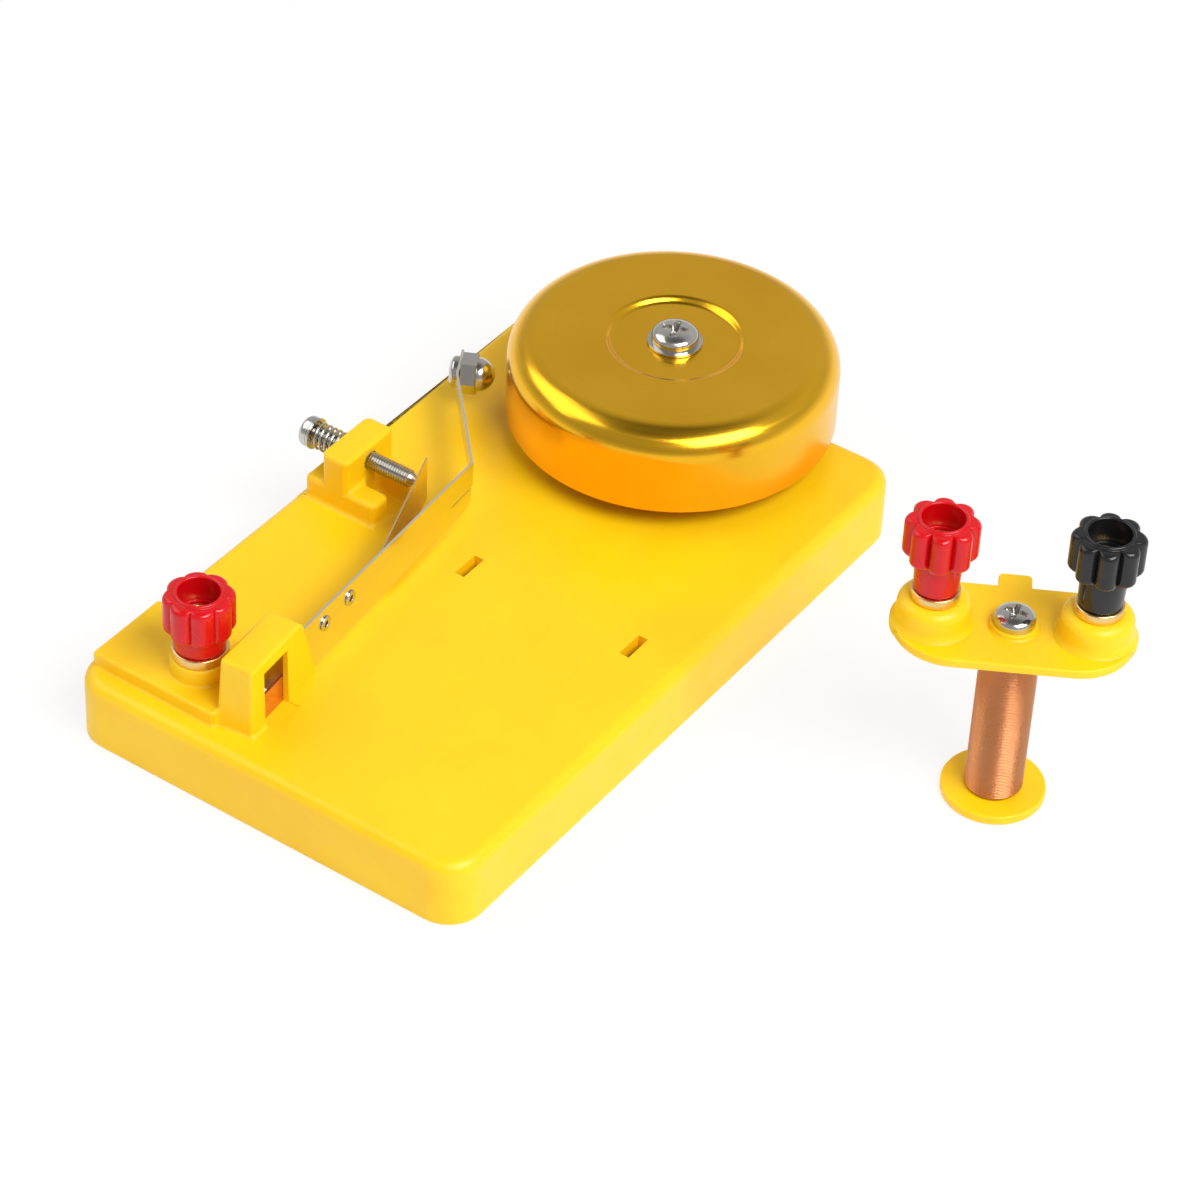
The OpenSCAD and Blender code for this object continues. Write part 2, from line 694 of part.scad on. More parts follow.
module base_stud() color([0.78, 0.66, 0.36]) translate([term_p[0], term_p[1], 0])
    stud(pad_under_z - link_t - terminal_nut_t - 0.6, base_knob_top - recess_len);

module base_stud_nut() color([0.78, 0.66, 0.36])
    translate([term_p[0], term_p[1], pad_under_z - link_t - terminal_nut_t - 2 * seat_gap])
    nut(terminal_nut_af, terminal_nut_t, stud_r + seat_gap);

module base_collar() color([0.93, 0.78, 0.36]) translate([term_p[0], term_p[1], base_boss_z + seat_gap])
    collar(base_collar_r, base_collar_t);

module base_knob() color([0.84, 0.02, 0.02]) translate([term_p[0], term_p[1], base_knob_z])
    knob(base_neck_r, base_neck_h, base_lobe_r, base_head_h, recess_r);

// copper link: flat under the pad's nut, then upright in the post behind its window
module terminal_link() color([0.80, 0.48, 0.28]) {
    up_len = post_len - post_taper_len - 2 * post_wall - 2;
    low = pad_under_z - link_t - seat_gap;
    difference() {
        union() {
            translate([term_p[0] - 4.5, term_p[1] - 3.6, low])
                cube([post_p[0] - term_p[0], 7.2, link_t]);
            wall_frame(post_p, strip_ang) translate([post_wall + 1, hollow_y + seat_gap, 0]) {
                translate([0, 0, low]) cube([7.2, 4, link_t]);
                translate([0, 0, low]) cube([up_len, link_t, 1]);
                translate([up_len - 1.2, 0, low]) cube([1.2, link_t, 8]);
            }
        }
        translate([term_p[0], term_p[1], 0]) cylinder(r = stud_r + seat_gap, h = 40);
    }
}

// ---- armature ----

module armature_strip() color([0.80, 0.74, 0.62]) difference() {
    plate_end = strip_len - strip_t;
    far = strip_len + 90;
    translate([0, 0, strip_low_z]) linear_extrude(strip_high_z - strip_low_z)
        polygon(strip_outline([along(strip_p, strip_ang, -strip_tail), strip_end, pad_a, pad_b], strip_t));
    // seen from the strip's front: falling upper edge, then the tongue's upper edge
    wall_frame(strip_p, strip_ang) rotate([90, 0, 0]) linear_extrude(120, center = true)
        polygon([[-2, strip_high_z + 2 * strip_fall / plate_end], [plate_end, tongue_high_z], [far, tongue_high_z], [far, 60], [-2, 60]]);
    // clipped corner, slit, and all below the tongue past the bend
    wall_frame(strip_p, strip_ang) rotate([90, 0, 0]) linear_extrude(120, center = true)
        polygon([
            [plate_end - 2.2, strip_low_z - 1], [plate_end, strip_low_z + 1.2],
            [plate_end, tongue_low_z - slit_w], [strip_len - slit_len, tongue_low_z - slit_w],
            [strip_len - slit_len, tongue_low_z], [far, tongue_low_z], [far, strip_low_z - 1]]);
    rivet_places() cylinder(r = rivet_r + seat_gap, h = 4, center = true);
    hammer_frame() cylinder(r = hammer_screw_r + seat_gap, h = 6, center = true);
}

// z' along the blow, origin in the middle of the pad
module hammer_frame() {
    translate([hammer_p[0], hammer_p[1], hammer_z]) rotate([0, 0, strike_ang]) rotate([0, 90, 0]) children();
}

// z' square to the strip at each rivet, towards its front
module rivet_places() {
    for (i = [0, 1])
        wall_frame(strip_p, strip_ang) translate([rivet_at + i * rivet_gap, 0, rivet_z]) rotate([90, 0, 0]) children();
}

module contact_leaf() color([0.86, 0.70, 0.42]) difference() {
    translate([0, 0, leaf_low_z]) linear_extrude(leaf_high_z - leaf_low_z)
        polygon(strip_outline([leaf_a, leaf_b, leaf_c], leaf_t));
    rivet_places() cylinder(r = rivet_r + seat_gap, h = 4, center = true);
}

module leaf_rivets() color([0.72, 0.70, 0.66]) {
    back = strip_t / 2 + leaf_t + 2 * seat_gap;
    rivet_places() {
        translate([0, 0, -back - 0.3]) cylinder(r = rivet_r, h = back + 0.3 + strip_t / 2 + 0.2);
        translate([0, 0, -back - 0.35]) cylinder(r = rivet_head_r, h = 0.35 - seat_gap);
        translate([0, 0, strip_t / 2 + seat_gap]) cylinder(r1 = rivet_head_r, r2 = rivet_head_r * 0.7, h = 0.35);
    }
}

module hammer_screw() color([0.80, 0.80, 0.78]) hammer_frame() {
    under = strip_t / 2 + seat_gap;
    translate([0, 0, -under]) cylinder(r = hammer_screw_r, h = under + cap_nut_hex_h + 0.3);
    translate([0, 0, -under]) rotate([180, 0, 0]) difference() {
        pan_head(hammer_head_r, hammer_head_h);
        translate([0, 0, hammer_head_h]) cross_cut(3, 0.7, 0.9);
    }
}

module hammer_cap_nut() color([0.80, 0.80, 0.78]) hammer_frame() translate([0, 0, strip_t / 2 + seat_gap])
    difference() {
        union() {
            linear_extrude(cap_nut_hex_h) hexagon(cap_nut_af);
            translate([0, 0, cap_nut_hex_h]) sphere_half(cap_nut_dome_r);
        }
        translate([0, 0, -1]) cylinder(r = hammer_screw_r + seat_gap, h = cap_nut_hex_h + 1.6);
    }

module sphere_half(r) {
    rotate_extrude() intersection() {
        circle(r);
        square([r, r]);
    }
}

// ---- contact screw ----

// z' along +X from the screw's washer
module contact_frame(x) {
    translate([x, contact_y, contact_z]) rotate([0, 90, 0]) children();
}

module contact_bush() color([0.82, 0.66, 0.30]) contact_frame(block_x + seat_gap)
    linear_extrude(bush_len - 2 * seat_gap) difference() {
        circle(bush_r);
        circle(contact_r + run_gap);
    }

module contact_screw() color([0.78, 0.78, 0.76]) contact_frame(washer_x) {
    thread_len = contact_tip_x - contact_tip_len - washer_x;
    translate([0, 0, -0.5]) cylinder(r = contact_r, h = thread_len + 0.5);
    translate([0, 0, thread_len]) cylinder(r1 = contact_r, r2 = contact_tip_r, h = contact_tip_len);
    rotate([180, 0, 0]) difference() {
        pan_head(contact_head_r, contact_head_h);
        translate([0, 0, contact_head_h]) cross_cut(3, 0.7, 1.1);
    }
}

module contact_washer() color([0.80, 0.80, 0.78]) contact_frame(washer_x + seat_gap)
    linear_extrude(contact_washer_t - 2 * seat_gap) difference() {
        circle(contact_washer_r);
        circle(contact_r + run_gap);
    }

module contact_spring() color([0.78, 0.78, 0.76]) contact_frame(block_x - spring_len + seat_gap)
    tube(spring_path, spring_wire);

// ---- coil unit ----

module coil_frame() {
    translate([coil_p[0], coil_p[1], 0]) rotate([0, 0, coil_yaw]) children();
}

module bobbin() color([0.99, 0.83, 0.12]) coil_frame() difference() {
    union() {
        translate([0, 0, plate_z]) linear_extrude(plate_t) plate_outline();
        linear_extrude(plate_t) {
            circle(flange_r);
            tab_outline();
        }
        cylinder(r = tube_r, h = plate_z + 0.5);
        for (s = [-1, 1]) translate([s * term_u, 0, plate_top - 0.5]) rotate_extrude() boss_section();
        translate([0, 0, plate_top - 0.5]) cylinder(r = core_ring_r, h = core_ring_h + 0.5);
    }
    translate([0, 0, -1]) cylinder(r = core_r + run_gap, h = plate_z + 1);
    cylinder(r = core_screw_r + run_gap, h = core_seat_z + 1);
    for (s = [-1, 1]) translate([s * term_u, 0, plate_z - 1]) cylinder(r = stud_r + seat_gap, h = coil_boss_h + 5);
}

module plate_outline() {
    square([plate_len - plate_wid, plate_wid], center = true);
    for (s = [-1, 1]) translate([s * (plate_len - plate_wid) / 2, 0]) circle(plate_wid / 2);
    tab_outline();
}

module tab_outline() {
    translate([-tab_w / 2, 0]) square([tab_w, tab_reach]);
}

module boss_section() {
    h = coil_boss_h + 0.5;
    square([coil_boss_r, h - coil_boss_edge]);
    square([coil_boss_r - coil_boss_edge, h]);
    translate([coil_boss_r - coil_boss_edge, h - coil_boss_edge]) circle(coil_boss_edge);
}

module inner_winding() color([0.74, 0.42, 0.22]) coil_frame() translate([0, 0, plate_t + seat_gap])
    linear_extrude(plate_z - plate_t - 2 * seat_gap) difference() {
        circle(wire_r - wire_d / 2 - 0.1);
        circle(tube_r + run_gap);
    }

module coil_winding() color([0.80, 0.46, 0.24]) coil_frame() translate([0, 0, plate_t + seat_gap])
    tube(winding_path, wire_d);

// two leads under the plate, from the winding to the solder tags
module winding_leads() color([0.80, 0.46, 0.24]) coil_frame() for (s = [-1, 1])
    translate([s * lead_u, -s * 1.2, lead_z]) rotate([0, s * 90, 0])
        cylinder(r = lead_d / 2, h = term_u - terminal_nut_af / 2 - 0.05 - lead_u, $fn = 24);

module iron_core() color([0.45, 0.45, 0.46]) coil_frame() difference() {
    translate([0, 0, 0.1]) cylinder(r = core_r, h = plate_z - 0.15);
    translate([0, 0, plate_z - 9]) cylinder(r = core_screw_r + seat_gap, h = 10);
}

module core_screw() color([0.82, 0.82, 0.80]) coil_frame() {
    translate([0, 0, plate_z - 8.5]) cylinder(r = core_screw_r, h = core_seat_z - plate_z + 9);
    translate([0, 0, core_seat_z]) difference() {
        pan_head(core_head_r, core_head_h);
        translate([0, 0, core_head_h]) cross_cut(3.6, 0.8, 1.2);
    }
}

module coil_studs() color([0.78, 0.66, 0.36]) coil_frame() for (s = [-1, 1]) translate([s * term_u, 0, 0])
    stud(plate_z - tag_t - terminal_nut_t - 0.6, coil_knob_top - recess_len);

module coil_nuts() color([0.78, 0.66, 0.36]) coil_frame() for (s = [-1, 1])
    translate([s * term_u, 0, plate_z - tag_t - terminal_nut_t - 2 * seat_gap])
    nut(terminal_nut_af, terminal_nut_t, stud_r + seat_gap);

module solder_tags() color([0.80, 0.78, 0.70]) coil_frame() for (s = [-1, 1])
    translate([s * term_u, 0, plate_z - tag_t - seat_gap]) linear_extrude(tag_t) difference() {
        circle(terminal_nut_af / 2);
        circle(stud_r + seat_gap);
    }

module coil_terminal(s, z) {
    coil_frame() translate([s * term_u, 0, z]) children();
}

module coil_knob_shape() {
    knob(coil_neck_r, coil_neck_h, coil_lobe_r, coil_head_h, recess_r);
}

module red_collar() color([0.80, 0.68, 0.40]) coil_terminal(-1, coil_boss_z + seat_gap)
    collar(coil_collar_r, coil_collar_t);

module red_knob() color([0.84, 0.02, 0.02]) coil_terminal(-1, coil_knob_z) coil_knob_shape();

module black_collar() color([0.80, 0.68, 0.40]) coil_terminal(1, coil_boss_z + seat_gap)
    collar(coil_collar_r, coil_collar_t);

module black_knob() color([0.06, 0.06, 0.06]) coil_terminal(1, coil_knob_z) coil_knob_shape();

// ---- one line a node ----

base_shell();
gong();
gong_screw();
gong_washer();
gong_nut();
base_stud();
base_stud_nut();
terminal_link();
base_collar();
base_knob();
armature_strip();
contact_leaf();
leaf_rivets();
hammer_screw();
hammer_cap_nut();
contact_bush();
contact_screw();
contact_washer();
contact_spring();
bobbin();
inner_winding();
coil_winding();
winding_leads();
iron_core();
core_screw();
coil_studs();
coil_nuts();
solder_tags();
red_collar();
red_knob();
black_collar();
black_knob();
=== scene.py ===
# %% [markdown]
# Electric bell demonstrator.
# The object is a classroom electric bell: a yellow moulded base with a springy strip, a hammer, a contact
# screw and a gong, and beside it the coil unit that plugs into the base. The exact solids come from the
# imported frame. This lesson sets up the camera, mixes the finishes, gives each visible piece its finer shape,
# and ends with the floor and the light.

# %% Load the frame
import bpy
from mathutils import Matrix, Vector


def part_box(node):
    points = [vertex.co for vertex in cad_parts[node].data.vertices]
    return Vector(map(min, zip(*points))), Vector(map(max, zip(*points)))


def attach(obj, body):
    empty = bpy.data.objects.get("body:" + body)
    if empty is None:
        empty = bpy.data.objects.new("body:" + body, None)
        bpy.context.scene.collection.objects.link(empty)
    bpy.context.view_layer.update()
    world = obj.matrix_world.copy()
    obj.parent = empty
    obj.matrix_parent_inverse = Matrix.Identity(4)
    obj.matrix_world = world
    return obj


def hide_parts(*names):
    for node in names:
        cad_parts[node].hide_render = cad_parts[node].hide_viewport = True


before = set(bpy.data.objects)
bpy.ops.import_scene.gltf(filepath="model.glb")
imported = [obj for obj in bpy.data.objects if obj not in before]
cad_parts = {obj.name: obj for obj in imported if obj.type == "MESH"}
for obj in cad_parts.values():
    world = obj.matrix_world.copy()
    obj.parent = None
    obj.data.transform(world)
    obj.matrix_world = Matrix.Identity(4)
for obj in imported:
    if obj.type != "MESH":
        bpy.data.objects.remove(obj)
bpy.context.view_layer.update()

# %% [markdown]
# Everything below works in metres, but the drawing of this object is in millimetres.
# One short name for a millimetre keeps the numbers readable.

# %% Units and imports
from math import atan2, cos, hypot, pi, radians, sin

import bmesh
import bpy
from mathutils import Matrix, Vector

MM = 0.001


def corners(node):
    """Lowest and highest corner of a CAD node, in millimetres."""
    low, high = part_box(node)
    return Vector(low) / MM, Vector(high) / MM


def middle(node):
    low, high = corners(node)
    return (low + high) / 2


# %% [markdown]
# The camera comes first. The photo was taken with a long lens from above, to the right of the object's front.
# Its place and turn were worked out from the corners of the base and the round rim of the gong, so the lesson
# only needs the resulting numbers: where it stands, the way it looks and a lens of 130 mm.

# %% Camera
VIEW_TURN = radians(33.147)
VIEW_DROP = radians(40.220)
VIEW_ROLL = radians(-2.985)
CAMERA_AT = Vector((305.5, -437.7, 457.28)) * MM

level_right = Vector((cos(VIEW_TURN), sin(VIEW_TURN), 0))
level_up = Vector((-sin(VIEW_TURN) * sin(VIEW_DROP), cos(VIEW_TURN) * sin(VIEW_DROP), cos(VIEW_DROP)))
ahead = Vector((-sin(VIEW_TURN) * cos(VIEW_DROP), cos(VIEW_TURN) * cos(VIEW_DROP), -sin(VIEW_DROP)))
right = cos(VIEW_ROLL) * level_right - sin(VIEW_ROLL) * level_up
up = sin(VIEW_ROLL) * level_right + cos(VIEW_ROLL) * level_up

camera_data = bpy.data.cameras.new("camera")
camera_data.sensor_width = 36
camera_data.lens = 130.43
camera_data.clip_start = 0.01
camera = bpy.data.objects.new("camera", camera_data)
camera.matrix_world = Matrix((
    (right.x, up.x, -ahead.x, CAMERA_AT.x),
    (right.y, up.y, -ahead.y, CAMERA_AT.y),
    (right.z, up.z, -ahead.z, CAMERA_AT.z),
    (0, 0, 0, 1)))
bpy.context.scene.collection.objects.link(camera)
bpy.context.scene.camera = camera
print("camera looks along", [round(v, 3) for v in ahead])

# %% [markdown]
# A finish is a small network of nodes. Most finishes here share the same pattern: a base colour that varies
# a little, a roughness that varies a little, and a fine bump. A helper that builds that pattern keeps each
# finish down to the few numbers that make it what it is. The patterns read Object coordinates, so they stay
# on the piece when it moves.

# %% Helpers for finishes


def new_finish(name):
    finish = bpy.data.materials.new(name)
    finish.use_nodes = True
    tree = finish.node_tree
    shader = tree.nodes["Principled BSDF"]
    return finish, tree, shader


def add_node(tree, kind, **settings):
    node = tree.nodes.new(kind)
    for key, value in settings.items():
        setattr(node, key, value)
    return node


def noise(tree, where, scale, detail=3.0, rough=0.5):
    node = add_node(tree, "ShaderNodeTexNoise")
    node.inputs["Scale"].default_value = scale
    node.inputs["Detail"].default_value = detail
    node.inputs["Roughness"].default_value = rough
    tree.links.new(where, node.inputs["Vector"])
    return node.outputs["Fac"]


def spread(tree, value, low, high, at_low=0.35, at_high=0.65):
    """Maps a noise that hovers round one half to the range low to high."""
    node = add_node(tree, "ShaderNodeMapRange")
    for key, number in (("From Min", at_low), ("From Max", at_high), ("To Min", low), ("To Max", high)):
        node.inputs[key].default_value = number
    tree.links.new(value, node.inputs["Value"])
    return node.outputs["Result"]


def two_colours(tree, value, first, second):
    node = add_node(tree, "ShaderNodeMix", data_type="RGBA")
    first_in, second_in = [s for s in node.inputs if s.type == "RGBA"]
    first_in.default_value = (*first, 1)
    second_in.default_value = (*second, 1)
    tree.links.new(value, node.inputs[0])
    return [s for s in node.outputs if s.type == "RGBA"][0]


def bump(tree, shader, height, strength, distance):
    node = add_node(tree, "ShaderNodeBump")
    node.inputs["Strength"].default_value = strength
    node.inputs["Distance"].default_value = distance
    tree.links.new(height, node.inputs["Height"])
    tree.links.new(node.outputs["Normal"], shader.inputs["Normal"])


def place(tree, at=(0, 0, 0), turn=(0, 0, 0), size=(1, 1, 1)):
    """Object coordinates, moved so that the pattern's middle is at the point given in millimetres."""
    coords = add_node(tree, "ShaderNodeTexCoord").outputs["Object"]
    shift = add_node(tree, "ShaderNodeVectorMath", operation="SUBTRACT")
    shift.inputs[1].default_value = tuple(v * MM for v in at)
    tree.links.new(coords, shift.inputs[0])
    mapping = add_node(tree, "ShaderNodeMapping")
    mapping.inputs["Rotation"].default_value = turn
    mapping.inputs["Scale"].default_value = size
    tree.links.new(shift.outputs[0], mapping.inputs["Vector"])
    return mapping.outputs["Vector"]


print("finish helpers ready")

# %% [markdown]
# The yellow mouldings are glossy ABS plastic, pigmented right through. Light sinks a little way into it,
# which is why its shadows go orange rather than grey. A little subsurface light gives that. The moulding's
# skin is not a mirror: it has a very fine ripple and slightly duller patches, drawn here with two noises.

# %% Moulded plastics
PLASTIC_IOR = 1.45
GLOW_REACH = 2.2 * MM
GLOW_COLOUR = (1.0, 0.42, 0.05)


def moulded_plastic(name, colour, deeper, rough, glow):
    finish, tree, shader = new_finish(name)
    where = place(tree)
    patch = noise(tree, where, 60, 4)
    colour_out = two_colours(tree, spread(tree, patch, 0, 1), colour, deeper)
    tree.links.new(colour_out, shader.inputs["Base Color"])
    dull = noise(tree, where, 140, 5)
    tree.links.new(spread(tree, dull, rough - 0.05, rough + 0.07), shader.inputs["Roughness"])
    shader.inputs["IOR"].default_value = PLASTIC_IOR
    if glow:
        shader.inputs["Subsurface Weight"].default_value = glow
        shader.inputs["Subsurface Radius"].default_value = GLOW_COLOUR
        shader.inputs["Subsurface Scale"].default_value = GLOW_REACH
    bump(tree, shader, noise(tree, where, 900, 3, 0.6), 0.35, 0.02 * MM)
    return finish


yellow_plastic = moulded_plastic("yellow_plastic", (0.985, 0.610, 0.004), (0.965, 0.570, 0.003), 0.38, 0.18)
red_plastic = moulded_plastic("red_plastic", (0.66, 0.002, 0.006), (0.58, 0.001, 0.004), 0.24, 0.06)
black_plastic = moulded_plastic("black_plastic", (0.008, 0.008, 0.009), (0.014, 0.014, 0.015), 0.22, 0)
print("plastics:", yellow_plastic.name, red_plastic.name, black_plastic.name)

# %% [markdown]
# The gong is spun from sheet and finished in bright gold. Spinning leaves faint rings round its axis, so its
# pattern depends only on the distance from that axis. The distance is the length of the coordinates with the
# height flattened away; a one-dimensional noise of that distance gives rings of uneven strength.

# %% Gong finish
GONG = middle("gong")


def turned_rings(tree, axis_at, rings_per_mm):
    """A noise that changes only with the distance from an upright axis."""
    flat = place(tree, axis_at, size=(1, 1, 0))
    length = add_node(tree, "ShaderNodeVectorMath", operation="LENGTH")
    tree.links.new(flat, length.inputs[0])
    rings = add_node(tree, "ShaderNodeTexNoise", noise_dimensions="1D")
    rings.inputs["Scale"].default_value = rings_per_mm / MM
    rings.inputs["Detail"].default_value = 2
    tree.links.new(length.outputs["Value"], rings.inputs["W"])
    return rings.outputs["Fac"]


gong_gold, tree, shader = new_finish("gong_gold")
rings = turned_rings(tree, GONG, 1.4)
cloud = noise(tree, place(tree), 45, 4)
golds = two_colours(tree, spread(tree, cloud, 0, 1), (0.95, 0.53, 0.028), (0.88, 0.47, 0.022))
tree.links.new(golds, shader.inputs["Base Color"])
shader.inputs["Metallic"].default_value = 1
tree.links.new(spread(tree, rings, 0.17, 0.24), shader.inputs["Roughness"])
bump(tree, shader, rings, 0.25, 0.03 * MM)
print("gong finish rings round", [round(v, 1) for v in GONG])

# %% [markdown]
# The small metal parts are nickel plated screws and nuts, turned brass, rolled strip and drawn copper. Each
# is a metal shader whose roughness is broken up by noise. Rolled strip has long scratches, so its noise is
# stretched along the strip; the other parts get an even noise.

# %% Metals


def plain_metal(name, colour, darker, rough, grain=700, stretch=(1, 1, 1), turn=(0, 0, 0), depth=0.2):
    finish, tree, shader = new_finish(name)
    where = place(tree, (0, 0, 0), turn, stretch)
    grain_out = noise(tree, where, grain, 4, 0.6)
    shades = two_colours(tree, spread(tree, noise(tree, where, grain / 6, 3), 0, 1), colour, darker)
    tree.links.new(shades, shader.inputs["Base Color"])
    tree.links.new(spread(tree, grain_out, rough - 0.05, rough + 0.08), shader.inputs["Roughness"])
    shader.inputs["Metallic"].default_value = 1
    bump(tree, shader, grain_out, depth, 0.01 * MM)
    return finish


STRIP_TURN = radians(5.55)
ALONG_STRIP = {"grain": 900, "stretch": (1, 0.03, 1), "turn": (0, 0, -STRIP_TURN), "depth": 0.015}
nickel = plain_metal("nickel", (0.62, 0.60, 0.56), (0.52, 0.50, 0.46), 0.16)
turned_brass = plain_metal("turned_brass", (0.84, 0.62, 0.27), (0.74, 0.52, 0.20), 0.24)
rolled_strip = plain_metal("rolled_strip", (0.84, 0.79, 0.70), (0.82, 0.77, 0.68), 0.18, **ALONG_STRIP)
leaf_bronze = plain_metal("leaf_bronze", (0.80, 0.60, 0.34), (0.78, 0.58, 0.33), 0.2, **ALONG_STRIP)
copper_sheet = plain_metal("copper_sheet", (0.80, 0.38, 0.20), (0.68, 0.30, 0.15), 0.30)
soft_iron = plain_metal("soft_iron", (0.30, 0.30, 0.31), (0.22, 0.22, 0.23), 0.40)
tinned = plain_metal("tinned", (0.72, 0.71, 0.68), (0.60, 0.59, 0.56), 0.35)
print("metals ready")

# %% [markdown]
# Enamelled copper wire is copper under a clear varnish. The varnish is a thin coat over the metal. Slow
# changes of colour come from a noise that is stretched along the height of the winding.

# %% Enamelled wire
enamelled_wire, tree, shader = new_finish("enamelled_wire")
where = place(tree, middle("coil_winding"), size=(1, 1, 0.4))
slow = spread(tree, noise(tree, where, 160, 4), 0, 1)
coppers = two_colours(tree, slow, (0.66, 0.28, 0.12), (0.60, 0.25, 0.10))
tree.links.new(coppers, shader.inputs["Base Color"])
tree.links.new(spread(tree, noise(tree, where, 420, 4), 0.26, 0.33), shader.inputs["Roughness"])
shader.inputs["Metallic"].default_value = 1
shader.inputs["Coat Weight"].default_value = 0.15
shader.inputs["Coat Roughness"].default_value = 0.2
bump(tree, shader, noise(tree, where, 900, 2), 0.03, 0.01 * MM)
print("wire finish ready")

# %% Helpers for pieces
MERGE_WITHIN = 0.0005


def settle_normals(mesh, crease):
    """Weighs the shading at each corner by the size of the faces round it, so that wide flat faces stay flat
    up to their edge and only the roundings between them turn."""
    faces_at = {}
    for face in mesh.polygons:
        for index in face.vertices:
            faces_at.setdefault(index, []).append((face.normal.copy(), face.area ** 1.5))
    limit = cos(radians(crease))
    normals = []
    for face in mesh.polygons:
        for index in face.vertices:
            total = Vector((0, 0, 0))
            for normal, weight in faces_at[index]:
                if normal.dot(face.normal) > limit:
                    total += normal * weight
            normals.append(total.normalized() if total.length > 0 else face.normal.copy())
    mesh.normals_split_custom_set(normals)


def finish_piece(name, bm, material, body, nodes, crease=35, flats=False):
    """Makes bm, in millimetres, a piece. crease, in degrees, is the angle past which an edge stays crisp."""
    bmesh.ops.remove_doubles(bm, verts=bm.verts, dist=MERGE_WITHIN)
    bmesh.ops.recalc_face_normals(bm, faces=bm.faces)
    bmesh.ops.scale(bm, vec=(MM, MM, MM), verts=bm.verts)
    mesh = bpy.data.meshes.new(name)
    bm.to_mesh(mesh)
    bm.free()
    mesh.shade_smooth()
    if flats:
        settle_normals(mesh, crease)
    else:
        mesh.set_sharp_from_angle(angle=radians(crease))
    piece = bpy.data.objects.new(name, mesh)
    bpy.context.scene.collection.objects.link(piece)
    mesh.materials.append(material)
    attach(piece, body)
    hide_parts(*nodes)
    print(name, len(mesh.polygons), "faces")
    return piece


def carry_over(node, material):
    """A CAD node keeps its exact mesh and only takes a finish."""
    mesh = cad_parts[node].data
    mesh.materials.clear()
    mesh.materials.append(material)


def standing_at(x, y, z=0):
    return Matrix.Translation((x, y, z))


# %% [markdown]
# Most small parts are turned: a half section swept round an axis. The helper draws the section as a few
# points in millimetres, each with its own rounding, rounds the corners with a vertex bevel, and spins the
# outline round the Z axis. A matrix then puts the part where it belongs.

# %% Helper for turned parts


def add_to(bm, part, at):
    """Puts a finished part in its place and adds it to bm."""
    bmesh.ops.transform(part, matrix=at, verts=part.verts)
    carrier = bpy.data.meshes.new("carrier")
    part.to_mesh(carrier)
    part.free()
    bm.from_mesh(carrier)
    bpy.data.meshes.remove(carrier)


def outline_face(part, points):
    """points: (x, y, z, rounding). One face from a few points, with its corners rounded by vertex bevels."""
    part.faces.new([part.verts.new(point[:3]) for point in points])
    for x, y, z, rounding in points:
        if rounding:
            corner = min(part.verts, key=lambda v: (v.co - Vector((x, y, z))).length_squared)
            bmesh.ops.bevel(part, geom=[corner], offset=rounding, offset_type="OFFSET", affect="VERTICES",
                            segments=4 + int(2 * rounding), profile=0.5, material=-1)
    return next(iter(part.faces))


def sweep_round(part, steps):
    """Sweeps everything in the part once round the Z axis."""
    bmesh.ops.spin(part, geom=list(part.verts) + list(part.edges), cent=(0, 0, 0), axis=(0, 0, 1),
                   angle=2 * pi, steps=steps, use_merge=True)


def turned(bm, section, at, steps=64):
    """section: (radius, height, rounding) points in order round half of a cut through the part."""
    part = bmesh.new()
    outline = outline_face(part, [(r, 0, z, rounding) for r, z, rounding in section])
    bmesh.ops.delete(part, geom=[outline], context="FACES_ONLY")
    on_axis = [e for e in part.edges if max(v.co.x for v in e.verts) < 1e-4]
    bmesh.ops.delete(part, geom=on_axis, context="EDGES")
    sweep_round(part, steps)
    add_to(bm, part, at)


print("turning helper ready")

# %% [markdown]
# The base is one moulding: the deck with its rounded edge, the raised pad and boss of the terminal, the post
# that grips the strip, the bracket of the contact screw and the gong's pillar. The solid has the right form
# but dead sharp corners. A mould is cut with a radius in every corner, so the piece is a merged copy of the
# solid, and each edge that light catches gets its own rounding through an edge weight. One Bevel modifier
# then makes all the roundings together. Its result is kept as the mesh, so that the shading can be set
# afterwards: wide faces flat, roundings smooth.

# %% Base moulding
TERMINAL = middle("base_stud")
CONTACT = middle("contact_washer")
POST_FOOT = Vector((-5.5, -55.9, 0))
along_strip = Vector((-sin(STRIP_TURN), cos(STRIP_TURN), 0))
behind_strip = Vector((-cos(STRIP_TURN), -sin(STRIP_TURN), 0))
DECK = 11.8
LEAST_CORNER = 40
SHADING_CREASE = 38


def merged_copy(node):
    """A copy of a CAD node in millimetres, with its loose triangles joined into whole faces."""
    bm = bmesh.new()
    bm.from_mesh(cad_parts[node].data)
    bmesh.ops.scale(bm, vec=(1 / MM,) * 3, verts=bm.verts)
    bmesh.ops.remove_doubles(bm, verts=bm.verts, dist=0.001)
    bmesh.ops.dissolve_limit(bm, angle_limit=radians(0.5), verts=bm.verts, edges=bm.edges)
    return bm


def add_rounding(bm, radius_of):
    """Gives each edge sharper than LEAST_CORNER degrees the weight that radius_of returns for it."""
    weights = bm.edges.layers.float.new("bevel_weight_edge")
    for edge in bm.edges:
        if edge.is_manifold and edge.calc_face_angle() > radians(LEAST_CORNER):
            edge[weights] = radius_of(edge)


